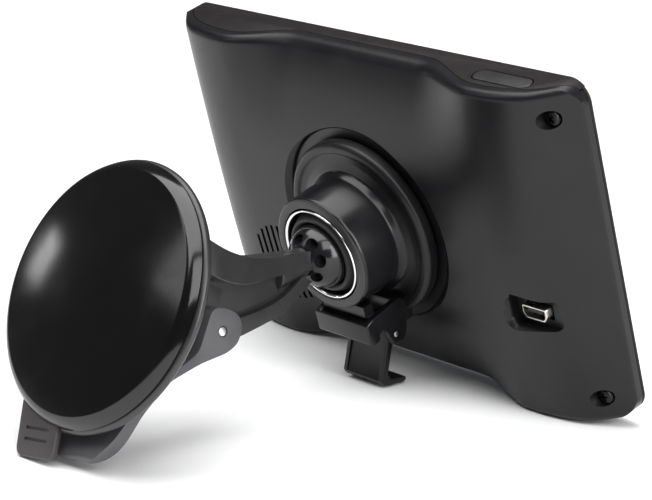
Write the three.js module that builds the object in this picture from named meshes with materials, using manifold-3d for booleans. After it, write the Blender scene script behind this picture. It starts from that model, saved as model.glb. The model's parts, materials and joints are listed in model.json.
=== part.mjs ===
// A dashboard satellite navigator clipped to its ball-and-socket suction mount, standing like an
// easel on a table: the unit leans back on its lower rear edge and the suction cup props it up.
// Millimetres, +Z up. The screen looks towards -Y and the suction cup towards +Y.
//
// Two local frames hold the design. The unit frame has its origin at the middle of the front
// plane, +X to the right as seen from behind, +Y up along the unit and +Z out of its back.
// The cup frame has its origin at the middle of the cup's lip, +X to the right as seen from the
// face, +Y up along the lip and +Z out of the sucking face.

import * as THREE from "three";
import { mergeVertices } from "three/addons/utils/BufferGeometryUtils.js";
import Module from "manifold-3d";

const wasm = await Module();
wasm.setup();

// ---------------------------------------------------------------- driving dimensions

const GAP = 0.3; // clearance between pieces that touch on the real object
const SEAM = 0.2; // parting line between the two mouldings of the case

const UNIT_WIDTH = 140; // a 5-inch class navigator
const UNIT_HEIGHT = 90;
const CORNER_RADIUS = 5.5; // corners of the case, seen from the front
const WALL = 1.6; // moulded wall of the case
const END_DEPTH = 3.8; // depth of the case at its left and right ends
const END_SLOPE = 1; // rise of the back, per millimetre in from an end
const END_BLEND = 2; // how gradually that slope rounds over into the lobe
const LOBE_DEPTH = 14.8; // depth of the thick ends, at the top and bottom edges
const LOBE_START = 44; // distance from the middle where an end starts to round off
const CENTRE_DEPTH = 17.3; // depth of the case around the mount
const WAIST_SCOOP = 7.2; // how much thinner the middle of the top and bottom edges is
const SCOOP_START = 14; // height above the middle where the scoop begins
const REAR_EDGE_RADIUS = 2.2; // rounding between the back and the top or bottom
const BEZEL_DEPTH = 1.1; // the front moulding's plate, up to the seam on the sides

const GLASS_WIDTH = 127;
const GLASS_HEIGHT = 77;
const LCD_WIDTH = 115;
const LCD_HEIGHT = 66;

const RECESS_RADIUS = 29; // bevelled recess for the clip disc
const RECESS_FLOOR = 15.1;
const DISC_RADIUS = 24;
const COLLAR_RADIUS = 15.5;
const COLLAR_FRONT = 33.2; // the collar's end face, measured from the screen side
const SOCKET_RADIUS = 12.7; // bore of the collar
const BALL_DEPTH = 32.4; // the ball's centre, on the collar's axis
const BALL_RADIUS = 8.5; // the usual 17 mm mounting ball

const LEAN = 19.2; // degrees that the unit leans back
const CUP_TILT = 24.9; // degrees that the cup's face looks upwards
const CUP_SWING = 0.9; // degrees that the cup is swung about the vertical
const CUP_ROLL = 9.1; // degrees that the mount is rolled about the cup's own axis
const LIP_RADIUS = 32; // lip of the suction cup
const BALL_UP = 28.5; // the ball's centre in the cup frame: up along the lip
const BALL_BACK = 67; // and behind the lip
const PIN_BACK = 32.4; // the lock lever's pin, behind the lip
const STUD_TRAVEL = 2.5; // how far the lock lever draws the rubber in

const ROUND = 44; // facets round the large discs

const DEG = Math.PI / 180;
const HALF_W = UNIT_WIDTH / 2;
const HALF_H = UNIT_HEIGHT / 2;

// ---------------------------------------------------------------- solids and booleans

// A closed three.js geometry as a manifold solid. An outline drawn clockwise gives faces that
// point inwards, so its triangles are turned over.
function solid(geometry) {
  const bare = geometry.clone();
  bare.deleteAttribute("normal");
  bare.deleteAttribute("uv");
  const merged = mergeVertices(bare, 1e-4);
  const vertProperties = new Float32Array(merged.attributes.position.array);
  const triVerts = new Uint32Array(merged.index.array);
  const made = new wasm.Manifold(new wasm.Mesh({ numProp: 3, vertProperties, triVerts }));
  if (made.volume() > 0) return made;
  for (let i = 0; i < triVerts.length; i += 3) {
    [triVerts[i + 1], triVerts[i + 2]] = [triVerts[i + 2], triVerts[i + 1]];
  }
  return new wasm.Manifold(new wasm.Mesh({ numProp: 3, vertProperties, triVerts }));
}

// A manifold solid as a three.js geometry with flat normals.
function geometryOf(manifold) {
  const mesh = manifold.getMesh();
  const geometry = new THREE.BufferGeometry();
  geometry.setAttribute("position", new THREE.BufferAttribute(mesh.vertProperties, 3));
  geometry.setIndex(new THREE.BufferAttribute(mesh.triVerts, 1));
  const flat = geometry.toNonIndexed();
  flat.computeVertexNormals();
  return flat;
}

const join = (...parts) => parts.reduce((sum, part) => sum.add(part));
const cut = (body, ...tools) => tools.reduce((rest, tool) => rest.subtract(tool), body);

function roundedRect(width, height, radius) {
  const x = width / 2;
  const y = height / 2;
  const shape = new THREE.Shape();
  shape.moveTo(-x + radius, -y);
  shape.lineTo(x - radius, -y);
  shape.absarc(x - radius, -y + radius, radius, -Math.PI / 2, 0);
  shape.lineTo(x, y - radius);
  shape.absarc(x - radius, y - radius, radius, 0, Math.PI / 2);
  shape.lineTo(-x + radius, y);
  shape.absarc(-x + radius, y - radius, radius, Math.PI / 2, Math.PI);
  shape.lineTo(-x, -y + radius);
  shape.absarc(-x + radius, -y + radius, radius, Math.PI, 1.5 * Math.PI);
  return shape;
}

function extrude(shape, depth, curveSegments = 6) {
  return new THREE.ExtrudeGeometry(shape, { depth, bevelEnabled: false, curveSegments });
}

// A flat plate with rounded corners, from zLow to zHigh, about (x, y).
function plate(width, height, radius, zLow, zHigh, x = 0, y = 0) {
  const geometry = extrude(roundedRect(width, height, radius), zHigh - zLow, 5);
  return solid(geometry.translate(x, y, zLow));
}

function block(xSize, ySize, zSize, x, y, z) {
  return solid(new THREE.BoxGeometry(xSize, ySize, zSize).translate(x, y, z));
}

// A solid of revolution about the Z axis from [radius, z] points.
function turned(profile, segments = 40) {
  const points = profile.map(([radius, z]) => new THREE.Vector2(radius, z));
  return solid(new THREE.LatheGeometry(points, segments).rotateX(Math.PI / 2));
}

// A rod along Z, about (x, y).
function rod(radius, zLow, zHigh, x = 0, y = 0, segments = 24) {
  const geometry = new THREE.CylinderGeometry(radius, radius, zHigh - zLow, segments);
  return solid(geometry.rotateX(Math.PI / 2).translate(x, y, (zLow + zHigh) / 2));
}

// A rod along X, about (y, z).
function crossRod(radius, xLow, xHigh, y, z, segments = 24) {
  const geometry = new THREE.CylinderGeometry(radius, radius, xHigh - xLow, segments);
  return solid(geometry.rotateZ(Math.PI / 2).translate((xLow + xHigh) / 2, y, z));
}

// A closed outline of [y, z] points, swept along X from -width/2 to width/2.
function sideSlab(outline, width, x = 0) {
  const shape = new THREE.Shape(outline.map(([y, z]) => new THREE.Vector2(y, z)));
  const geometry = extrude(shape, width);
  const turn = new THREE.Matrix4().makeBasis(
    new THREE.Vector3(0, 1, 0),
    new THREE.Vector3(0, 0, 1),
    new THREE.Vector3(1, 0, 0),
  );
  return solid(geometry.applyMatrix4(turn).translate(x - width / 2, 0, 0));
}

// A smooth curve through [y, z] points, as a list of [y, z] points.
function smooth(points, divisions) {
  const curve = new THREE.SplineCurve(points.map(([y, z]) => new THREE.Vector2(y, z)));
  return curve.getPoints(divisions).map((p) => [p.x, p.y]);
}

// A named mesh; edges shorter than the tolerance, left where cuts nearly meet, are collapsed.
function part(name, manifold, color, roughness, metalness = 0) {
  const material = new THREE.MeshStandardMaterial({ color, roughness, metalness });
  const mesh = new THREE.Mesh(geometryOf(manifold.simplify(0.02)), material);
  mesh.name = name;
  return mesh;
}

const BLACK_PLASTIC = 0x1b1b1e;
const MATTE_PLASTIC = 0x2a2827;
const GLOSS_BLACK = 0x0b0b0c;
const RUBBER = 0x101011;
const STEEL = 0xb9bbbe;

// ---------------------------------------------------------------- the case

// A number that runs smoothly from 0 to 1 as t does.
const ease = (t) => {
  const c = Math.min(1, Math.max(0, t));
  return c * c * (3 - 2 * c);
};

// The smaller of two numbers, rounded over where they meet.
const softMin = (a, b, blend) => (a + b - Math.sqrt((a - b) ** 2 + blend ** 2)) / 2;

// Depth of the back over the point (x, y) of the front: thick rounded ends that taper to a nose,
// a full middle for the mount, and a thinner waist along the top and bottom edges.
function backDepth(x, y) {
  const ax = Math.min(Math.abs(x), HALF_W);
  const ay = Math.min(Math.abs(y), HALF_H);
  const roundOff = Math.max(0, (ax - LOBE_START) / (HALF_W - LOBE_START));
  const fullness = (CENTRE_DEPTH - LOBE_DEPTH) * (1 - (ay / HALF_H) ** 2);
  const crown = LOBE_DEPTH + fullness - END_DEPTH;
  const lobe = END_DEPTH + crown * Math.sqrt(1 - roundOff * roundOff);
  const ends = softMin(lobe, END_DEPTH + END_SLOPE * (HALF_W - ax), END_BLEND);
  const waist = 1 - ease((ax - LOBE_START / 2) / (LOBE_START / 2));
  const towardsEdge = Math.max(0, (ay - SCOOP_START) / (HALF_H - SCOOP_START)) ** 2;
  const intoEdge = Math.max(0, REAR_EDGE_RADIUS - (HALF_H - ay));
  const rounding = REAR_EDGE_RADIUS - Math.sqrt(REAR_EDGE_RADIUS ** 2 - intoEdge ** 2);
  const depth = ends - WAIST_SCOOP * waist * towardsEdge;
  return Math.max(END_DEPTH * 0.8, depth - rounding);
}

// The case as one full solid, shrunk by inset on every side but the front.
function caseSolid(inset) {
  const columns = 26;
  const rows = 18;
  const geometry = new THREE.BoxGeometry(2, 2, 2, columns, rows, 1);
  const position = geometry.attributes.position;
  for (let i = 0; i < position.count; i++) {
    const x = HALF_W * Math.sin((position.getX(i) * Math.PI) / 2);
    const y = HALF_H * Math.sin((position.getY(i) * Math.PI) / 2);
    const z = position.getZ(i) > 0 ? backDepth(x, y) - inset : 0;
    const shrink = [(HALF_W - inset) / HALF_W, (HALF_H - inset) / HALF_H];
    position.setXYZ(i, x * shrink[0], y * shrink[1], z);
  }
  const radius = CORNER_RADIUS - inset;
  const outline = plate(UNIT_WIDTH - 2 * inset, UNIT_HEIGHT - 2 * inset, radius, -1, 30);
  return solid(geometry).intersect(outline);
}

const SEAM_FROM_BACK = 3.4; // the seam runs this far in front of the back's edge

// The seam's height above the front plane, along the top and bottom edges.
function seamDepth(x) {
  const edge = backDepth(x, HALF_H) + REAR_EDGE_RADIUS;
  return Math.max(BEZEL_DEPTH / 2, edge - SEAM_FROM_BACK);
}

// The plan of the front moulding's top or bottom wall, swept from yLow to yHigh.
function capSlab(yLow, yHigh, grow) {
  const steps = 40;
  const halfSpan = HALF_W - 1.2 + grow;
  const shape = new THREE.Shape();
  shape.moveTo(-halfSpan, -1);
  shape.lineTo(halfSpan, -1);
  for (let i = 0; i <= steps; i++) {
    const x = halfSpan * (1 - (2 * i) / steps);
    shape.lineTo(x, seamDepth(x) + grow);
  }
  const turn = new THREE.Matrix4().makeBasis(
    new THREE.Vector3(1, 0, 0),
    new THREE.Vector3(0, 0, 1),
    new THREE.Vector3(0, -1, 0),
  );
  return solid(extrude(shape, yHigh - yLow).applyMatrix4(turn).translate(0, yHigh, 0));
}

const CAP_WALL = 1.8;
const BUTTON = { x: 49.3, z: 6.9, width: 17.6, height: 4.8 };
const SCREW = { x: 64.2, y: 38, seat: 6.9, headRadius: 2, headHeight: 1.3 };
const USB = { x: 52.8, y: -13.6, width: 14.5, height: 8.4, floor: 12.6 };
const SPEAKER = { x: -36.5, y: -20, radius: 11.5 };

// The button's outline, a stadium lying along X, swept along Y.
function buttonSlab(grow, yLow, yHigh) {
  const height = BUTTON.height + 2 * grow;
  const shape = roundedRect(BUTTON.width + 2 * grow, height, height / 2 - 0.05);
  const geometry = extrude(shape, yHigh - yLow, 6).rotateX(Math.PI / 2);
  return solid(geometry.translate(BUTTON.x, yHigh, BUTTON.z));
}

function frontHousing() {
  const bezel = plate(UNIT_WIDTH, UNIT_HEIGHT, CORNER_RADIUS, 0, BEZEL_DEPTH - SEAM / 2);
  const window = plate(GLASS_WIDTH + 2 * GAP, GLASS_HEIGHT + 2 * GAP, 3, -1, 1);
  const inset = WALL + GAP;
  const frameBlank = plate(UNIT_WIDTH - 2 * inset, UNIT_HEIGHT - 2 * inset, 5, 0.95, 3.3);
  const frame = frameBlank.intersect(caseSolid(inset));
  const opening = plate(LCD_WIDTH + 2 * GAP, LCD_HEIGHT + 2 * GAP, 1, 0, 4);
  const caps = [1, -1].map((side) => {
    const low = side > 0 ? HALF_H - CAP_WALL : -HALF_H;
    return capSlab(low, low + CAP_WALL, -SEAM / 2).intersect(caseSolid(0));
  });
  const buttonHole = buttonSlab(GAP, HALF_H - 4, HALF_H + 1);
  const bossPockets = [1, -1].map((side) => rod(4.1, 0.9, 5, SCREW.x - 0.4, side * (SCREW.y - 0.4)));
  return cut(join(bezel, frame, ...caps), window, opening, buttonHole, ...bossPockets);
}

function speakerSlots() {
  const pitch = 2.3;
  const slots = [];
  for (let i = -4; i <= 4; i++) {
    const reach = 2 * Math.sqrt(SPEAKER.radius ** 2 - (i * pitch) ** 2);
    slots.push(block(1, reach, 12, SPEAKER.x + i * pitch, SPEAKER.y, 16));
  }
  return slots;
}

function rearCover() {
  const shell = cut(caseSolid(0), caseSolid(WALL));
  const bosses = [1, -1].map((side) =>
    rod(3.6, 3.6, 10.5, SCREW.x - 0.4, side * (SCREW.y - 0.4)).intersect(caseSolid(0.2)),
  );
  const usbBox = plate(USB.width + 3, USB.height + 3, 2.2, USB.floor - 1.4, 15.5, USB.x, USB.y);
  const usbWell = plate(USB.width, USB.height, 2, USB.floor, 30, USB.x, USB.y);
  const usbHole = block(8.4, 4.3, 8, USB.x, USB.y, USB.floor);
  const frontSlab = block(UNIT_WIDTH + 4, UNIT_HEIGHT + 4, 4, 0, 0, BEZEL_DEPTH + SEAM / 2 - 2);
  const capSpaces = [1, -1].map((side) => {
    const low = side > 0 ? HALF_H - CAP_WALL - GAP : -HALF_H - 1;
    return capSlab(low, low + CAP_WALL + GAP + 1, SEAM / 2);
  });
  const recess = turned([
    [0, RECESS_FLOOR],
    [RECESS_RADIUS - 2.2, RECESS_FLOOR],
    [RECESS_RADIUS - 1.8, RECESS_FLOOR + 1],
    [RECESS_RADIUS, 17.9],
    [RECESS_RADIUS, 30],
    [0, 30],
  ], ROUND);
  const recessFloor = rod(RECESS_RADIUS - 0.5, 13.5, RECESS_FLOOR + 0.6, 0, 0, ROUND);
  const screwHoles = [1, -1].flatMap((side) => [
    rod(SCREW.headRadius + 0.35, SCREW.seat, 30, SCREW.x, side * SCREW.y),
    rod(1.35, 0, 20, SCREW.x, side * SCREW.y, 16),
  ]);
  const clipWindow = plate(15, 4.4, 1, 10, 20, 0, 19);
  const body = join(shell, ...bosses, usbBox, recessFloor).intersect(caseSolid(0));
  return cut(
    body,
    frontSlab,
    ...capSpaces,
    recess,
    usbWell,
    usbHole,
    ...screwHoles,
    ...speakerSlots(),
    clipWindow,
  );
}

function caseScrew(side) {
  const head = rod(SCREW.headRadius, SCREW.seat + GAP, SCREW.seat + GAP + SCREW.headHeight);
  const shank = rod(1, 4.6, SCREW.seat + GAP + 0.4, 0, 0, 16);
  const slots = [0, 1].map((turn) =>
    block(turn ? 0.5 : 2.4, turn ? 2.4 : 0.5, 1.2, 0, 0, SCREW.seat + GAP + SCREW.headHeight),
  );
  return cut(join(head, shank), ...slots).translate([SCREW.x, side * SCREW.y, 0]);
}

function powerButton() {
  const cap = buttonSlab(0, HALF_H - 1.6, HALF_H + 0.15);
  const flange = block(BUTTON.width - 4, 0.9, 3, BUTTON.x, HALF_H - 2.0, BUTTON.z);
  const stem = block(3, 2.2, 2, BUTTON.x, HALF_H - 3.4, BUTTON.z);
  return join(cap, flange, stem);
}

// ---------------------------------------------------------------- inside the case

const BOARD = { front: 8.2, back: 9.2 };

function speakerDriver() {
  const profile = [
    [0, 9.6],
    [7, 9.6],
    [10.3, 11.6],
    [10.8, 11.9],
    [10.8, 13.2],
    [9.6, 13.2],
    [5, 12.2],
    [2.8, 12.8],
    [0, 13.1],
  ];
  return turned(profile, 32).translate([SPEAKER.x, SPEAKER.y, 0]);
}

function usbSocket() {
  const shell = block(7.7, 3.6, 5.4, USB.x, USB.y, USB.floor - 0.4);
  const mouth = block(6.9, 2.8, 4.4, USB.x, USB.y, USB.floor + 0.5);
  const tongue = block(5, 0.9, 4, USB.x, USB.y + 0.5, USB.floor - 0.2);
  return join(cut(shell, mouth), tongue);
}

const insides = () => [
  part("touch_glass", plate(GLASS_WIDTH, GLASS_HEIGHT, 2.8, 0.05, 0.65), 0x050506, 0.05),
  part("lcd_panel", plate(LCD_WIDTH, LCD_HEIGHT, 0.8, 0.95, 3.0), 0x14161a, 0.2),
  part("lcd_backing_tray", plate(LCD_WIDTH + 1, LCD_HEIGHT + 1, 1.2, 3.6, 4.3), STEEL, 0.4, 1),
  part("main_circuit_board", boardSolid(), 0x1c4a2c, 0.5),
  part("processor_shield", block(36, 13, 2.2, 4, -19, BOARD.back + GAP + 1.1), STEEL, 0.35, 1),
  part("gps_antenna_patch", block(13, 13, 3.2, -46, 22, BOARD.back + GAP + 1.6), 0xb8a78c, 0.6),
  part("battery_pack", plate(46, 32, 1.5, BOARD.back + GAP, 13.1, 4, 8), 0x6d7176, 0.35, 0.6),
  part("speaker_driver", speakerDriver(), 0x222224, 0.5),
  part("usb_socket", usbSocket(), STEEL, 0.3, 1),
  part("power_switch", block(5, 3, 2, BUTTON.x, HALF_H - 6.7, BUTTON.z), 0x2b2b2e, 0.5),
];

function boardSolid() {
  const board = plate(118, 62, 2, BOARD.front, BOARD.back);
  const ear = block(12, 10, BOARD.back - BOARD.front, BUTTON.x, 34, (BOARD.front + BOARD.back) / 2);
  return join(board, ear);
}

// ---------------------------------------------------------------- the clip-on cradle

function clipDisc() {
  const floor = RECESS_FLOOR + GAP;
  const bore = 18.6;
  return turned([
    [0, floor],
    [DISC_RADIUS - 0.6, floor],
    [DISC_RADIUS, floor + 0.6],
    [DISC_RADIUS, 18.9],
    [DISC_RADIUS - 0.9, 19.6],
    [DISC_RADIUS - 2.4, 19.6],
    [DISC_RADIUS - 2.9, 19.1],
    [COLLAR_RADIUS + 2.2, 19.1],
    [COLLAR_RADIUS + 0.7, 20.4],
    [COLLAR_RADIUS, COLLAR_FRONT - 0.8],
    [COLLAR_RADIUS - 0.7, COLLAR_FRONT],
    [SOCKET_RADIUS + 0.3, COLLAR_FRONT],
    [SOCKET_RADIUS, COLLAR_FRONT - 0.3],
    [SOCKET_RADIUS, bore],
    [0, bore],
  ], ROUND);
}

// The lower bracket: a cross bar in front of the collar's foot, on two cheeks that grow from
// the disc, which carries the release lever on its pin.
const BRACKET = { x: 2, halfWidth: 9.6, cheek: 2.2, pinY: -25.2, pinZ: 24.4, barZ: 33.4 };

function latchBracket() {
  const cheek = [
    [-16.2, 20.2],
    [-16.9, 27],
    [-17.4, 31.4],
    [-18.2, BRACKET.barZ],
    [-23.6, BRACKET.barZ],
    [-24.2, BRACKET.barZ - 1],
    [-24.2, BRACKET.barZ - 3.4],
    [-21.8, 29.4],
    [-22.8, 27.6],
    [-27.6, 26.2],
    [-28, 22.6],
    [-25.6, 20.8],
    [-23.2, 20.0],
  ];
  const cheeks = [1, -1].map((side) =>
    sideSlab(cheek, BRACKET.cheek, BRACKET.x + side * (BRACKET.halfWidth - BRACKET.cheek / 2)),
  );
  const bar = sideSlab(
    [
      [-18.2, BRACKET.barZ],
      [-23.6, BRACKET.barZ],
      [-24.2, BRACKET.barZ - 1],
      [-24.2, BRACKET.barZ - 2.2],
      [-18.0, BRACKET.barZ - 2.2],
    ],
    2 * BRACKET.halfWidth,
    BRACKET.x,
  );
  const pinBore = crossRod(1.05, -30, 30, BRACKET.pinY, BRACKET.pinZ, 16);
  const collarClearance = rod(COLLAR_RADIUS + 0.9, 10, 40, 0, 0, ROUND);
  return cut(join(...cheeks, bar), pinBore, collarClearance);
}

// The cradle moulding is the disc, the collar and the bracket in one piece.
function cradleMoulding() {
  const foot = block(2 * BRACKET.halfWidth, 6, 3.6, BRACKET.x, -20.2, 19.6);
  const bridge = block(2 * BRACKET.halfWidth - 4, 3, 3, BRACKET.x, -15.6, 30);
  const bore = rod(SOCKET_RADIUS + 0.01, 18.6, 40, 0, 0, ROUND);
  const catchTab = plate(12, 2.6, 0.8, 13.4, 16, 0, 19);
  return cut(join(clipDisc(), latchBracket(), foot, bridge, catchTab), bore);
}

// The release lever: an inclined finger plate under the bar, with a foot that turns back
// towards the unit.
function releaseLever() {
  const outline = [
    [-23.6, 26.0],
    [-26.9, 25.9],
    [-36.6, 31.0],
    [-38.2, 30.2],
    [-38.9, 28.6],
    [-40.6, 23.6],
    [-40.2, 22.6],
    [-39.2, 22.8],
    [-37.2, 28.0],
    [-35.8, 28.2],
    [-27.6, 23.8],
    [-26.2, 22.6],
    [-23.8, 22.9],
  ];
  const width = 2 * (BRACKET.halfWidth - BRACKET.cheek - GAP);
  const bore = crossRod(1.05, -30, 30, BRACKET.pinY, BRACKET.pinZ, 16);
  return cut(sideSlab(outline, width, BRACKET.x), bore);
}

function leverPin() {
  const reach = BRACKET.halfWidth - 0.2;
  return crossRod(0.75, BRACKET.x - reach, BRACKET.x + reach, BRACKET.pinY, BRACKET.pinZ, 16);
}

const SEAT_WALL = 0.6; // wall of the two thin cups behind the ball
const SEAT_ROOM = BALL_RADIUS + 3 * GAP + 2 * SEAT_WALL;
const SEAT_RIM = -38; // degrees from the ball's equator to a cup's rim

// Points [radius, z] round the ball's centre, from one angle to another above its equator.
function ballArc(radius, fromDegrees, toDegrees, steps) {
  return Array.from({ length: steps + 1 }, (_, i) => {
    const angle = (fromDegrees + ((toDegrees - fromDegrees) * i) / steps) * DEG;
    return [radius * Math.cos(angle), BALL_DEPTH + radius * Math.sin(angle)];
  });
}

// The liner grips the ball just past its equator and leaves room behind it for the two seats.
function socketLiner() {
  const outer = SOCKET_RADIUS - 1.5;
  const mouth = COLLAR_FRONT + 0.3;
  const grip = BALL_RADIUS + GAP;
  const room = ballArc(SEAT_ROOM, -12, -86, 7);
  return turned([
    [0, 19.2],
    [outer, 19.2],
    [outer, 31.0],
    [outer - 1.3, mouth],
    [9.3, mouth],
    ...ballArc(grip, 4, -8, 2),
    ...room,
    [0, room.at(-1)[1] - 0.02],
  ], 36);
}

// Thin cups behind the ball: the seat that rubs on it, and the spring cup that presses the seat.
function seatCup(innerRadius) {
  const outerRadius = innerRadius + SEAT_WALL;
  return turned([
    [0, BALL_DEPTH - outerRadius],
    ...ballArc(outerRadius, -84, SEAT_RIM, 6),
    ...ballArc(innerRadius, SEAT_RIM, -84, 6),
    [0, BALL_DEPTH - innerRadius],
  ], 28);
}

function chromeRing() {
  const low = COLLAR_FRONT - 1.6;
  return turned([
    [SOCKET_RADIUS - 1.1, low],
    [SOCKET_RADIUS - GAP, low],
    [SOCKET_RADIUS - GAP, COLLAR_FRONT - 0.1],
    [SOCKET_RADIUS - 0.6, COLLAR_FRONT + 0.2],
    [SOCKET_RADIUS - 1.1, COLLAR_FRONT - 0.2],
    [SOCKET_RADIUS - 1.1, low],
  ], 48);
}

// ---------------------------------------------------------------- the suction mount

// The side view of the arm in the cup frame, as [up, out] points: a curved top flange, a
// lower rail and the thin web between them.
const NECK = [BALL_UP - 3.4, -BALL_BACK + 5.6];
const ARM_TOP = [
  [20.5, -7.5], [19.4, -16], [18.4, -26], [19.2, -36], [21.6, -45.5], [24.6, -53],
  [NECK[0] + 2.6, NECK[1] + 0.4],
];
const ARM_FLANGE_LOW = [
  [13.5, -8.5], [12.0, -18], [11.2, -27], [12.6, -37], [16.6, -46.5], [20.4, -55],
  [NECK[0] - 2.2, NECK[1] - 0.6],
];
const RAIL_TOP = [[4.6, -30], [4.4, -38], [7.4, -45], [13.4, -53.5], [20.6, -59]];
const RAIL_LOW = [[-1.6, -33], [-0.4, -39.5], [3.4, -46], [10.8, -55.6], [20.2, -62.4]];

// A slab between two curves, whose width runs from wide at the cup to narrow at the ball.
function taperedSlab(upper, lower, wide, narrow) {
  const outline = [...smooth(upper, 16), ...smooth(lower, 16).reverse()];
  const slab = sideSlab(outline, wide);
  const top = -8;
  const end = -BALL_BACK + 2;
  const shape = new THREE.Shape([
    new THREE.Vector2(-wide / 2, top + 12),
    new THREE.Vector2(-wide / 2, top - 14),
    new THREE.Vector2(-narrow / 2, end + 9),
    new THREE.Vector2(-narrow / 2, end - 4),
    new THREE.Vector2(narrow / 2, end - 4),
    new THREE.Vector2(narrow / 2, end + 9),
    new THREE.Vector2(wide / 2, top - 14),
    new THREE.Vector2(wide / 2, top + 12),
  ]);
  const turn = new THREE.Matrix4().makeBasis(
    new THREE.Vector3(1, 0, 0),
    new THREE.Vector3(0, 0, 1),
    new THREE.Vector3(0, -1, 0),
  );
  const plan = solid(extrude(shape, 90).applyMatrix4(turn).translate(0, 60, 0));
  return slab.intersect(plan);
}

const DISH_BACK = -8.6;
const HUB = { radius: 11.5, back: -22 };
const FLAT_CENTRE = 6; // radius of the flat middle of the cup's face

// The finger tab hangs from under the lip, through a notch in the dish, and leans back a little.
const TAB = {
  x: -10.5,
  topHalf: 7.2,
  lowHalf: 6.6,
  root: -24.5,
  reach: -39.6,
  front: -0.5,
  thick: 1.9,
  hinge: -27,
  lean: 6,
};

const leanBack = (made) =>
  made.translate([0, -TAB.hinge, 0]).rotate([TAB.lean, 0, 0]).translate([0, TAB.hinge, 0]);

function tabSlab(grow) {
  const top = TAB.topHalf + grow;
  const low = TAB.lowHalf + grow;
  const reach = TAB.reach - grow;
  const corner = 3;
  const shape = new THREE.Shape();
  shape.moveTo(-top, TAB.root);
  shape.lineTo(-low, reach + corner);
  shape.quadraticCurveTo(-low, reach, -low + corner, reach);
  shape.lineTo(low - corner, reach);
  shape.quadraticCurveTo(low, reach, low, reach + corner);
  shape.lineTo(top, TAB.root);
  const geometry = extrude(shape, TAB.thick + 2 * grow);
  return leanBack(solid(geometry.translate(TAB.x, 0, TAB.front - TAB.thick - grow)));
}

function baseAndArm() {
  const dish = turned([
    [0, -4.2],
    [29.4, -4.2],
    [29.6, -2.0],
    [31.9, -1.5],
    [32.7, -2.2],
    [32.6, -3.4],
    [30.2, -5.6],
    [22, DISH_BACK],
    [HUB.radius + 2, DISH_BACK - 1.4],
    [HUB.radius, DISH_BACK - 4],
    [HUB.radius - 1, HUB.back],
    [0, HUB.back],
  ], ROUND);
  const flange = taperedSlab(ARM_TOP, ARM_FLANGE_LOW, 22, 7);
  const webOutline = [...smooth(ARM_FLANGE_LOW, 12), ...smooth(RAIL_LOW, 12).reverse()];
  const web = sideSlab(webOutline.map(([v, w]) => [v + 1.5, w]), 3);
  const rail = taperedSlab(RAIL_TOP, RAIL_LOW, 10, 7);
  const boss = crossRod(4.8, -5, 5, 0, -PIN_BACK, 28);
  const bossRib = block(10, 12, 14, 0, 4, -PIN_BACK + 7);
  const sphere = new THREE.SphereGeometry(BALL_RADIUS, 24, 14);
  const ball = solid(sphere.translate(0, BALL_UP, -BALL_BACK));
  const neckLength = 12;
  const neckGeometry = new THREE.CylinderGeometry(4.4, 3.4, neckLength, 24);
  const away = new THREE.Vector3(0, NECK[0] - BALL_UP, NECK[1] + BALL_BACK).normalize();
  neckGeometry.applyQuaternion(
    new THREE.Quaternion().setFromUnitVectors(new THREE.Vector3(0, 1, 0), away),
  );
  const reach = BALL_RADIUS - 2 + neckLength / 2;
  neckGeometry.translate(away.x * reach, BALL_UP + away.y * reach, -BALL_BACK + away.z * reach);
  const neck = solid(neckGeometry);
  const studBore = rod(5.4, HUB.back + 3.4, 0, 0, 0, 28);
  const studNeckBore = rod(2.6, -60, 0, 0, 0, 20);
  const pinBore = crossRod(1.35, -20, 20, 0, -PIN_BACK, 16);
  const body = join(dish, flange, web, rail, boss, bossRib, ball, neck);
  return cut(body, studBore, studNeckBore, pinBore, tabSlab(GAP));
}

// The rubber cup: a domed face in front of a steep lip, a boss for the stud behind it, and a
// finger tab below for lifting the lip.
function suctionCup() {
  const dome = 2.4;
  const faceRadius = 29.8;
  const faceEdge = 1.3;
  const steps = 6;
  const profile = [[0, -3.8], [28.9, -3.8], [29.1, -1.6], [LIP_RADIUS, -1.0], [31.6, -0.4]];
  for (let i = 0; i <= steps; i++) {
    const radius = FLAT_CENTRE + (faceRadius - FLAT_CENTRE) * (1 - i / steps);
    profile.push([radius, faceEdge + dome * (1 - (radius / faceRadius) ** 2)]);
  }
  profile.push([0, profile.at(-1)[1]]);
  const disc = turned(profile, ROUND);
  const grooves = [0, 1].map((i) =>
    leanBack(block(8, 0.8, 1, TAB.x, TAB.reach + 4.2 + 2.6 * i, TAB.front + 0.1)),
  );
  const pocket = rod(4.9, -8, 1.2, 0, 0, 28);
  return cut(join(disc, tabSlab(0)), ...grooves, pocket);
}

function pullStud() {
  const head = rod(4.5, -4.6, 1.2 - STUD_TRAVEL - GAP, 0, 0, 28);
  const shank = rod(2.2, -27.4, -4, 0, 0, 20);
  return join(head, shank);
}

function studSpring() {
  const turns = 4;
  const radius = 3.9;
  const low = -17.6;
  const high = -5.4;
  class Helix extends THREE.Curve {
    getPoint(t) {
      const angle = 2 * Math.PI * turns * t;
      const height = low + (high - low) * t;
      return new THREE.Vector3(radius * Math.cos(angle), radius * Math.sin(angle), height);
    }
  }
  const wire = 0.45;
  const hexagon = Array.from({ length: 6 }, (_, i) => (i * Math.PI) / 3);
  const section = new THREE.Shape(
    hexagon.map((angle) => new THREE.Vector2(wire * Math.cos(angle), wire * Math.sin(angle))),
  );
  const options = { steps: 44, bevelEnabled: false, extrudePath: new Helix() };
  return solid(new THREE.ExtrudeGeometry(section, options));
}

// The lock lever: two ears on the pin, a skin that follows the back of the dish downwards, and
// a wide rounded finger tip.
const LEVER_REACH = 38.2;

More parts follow.
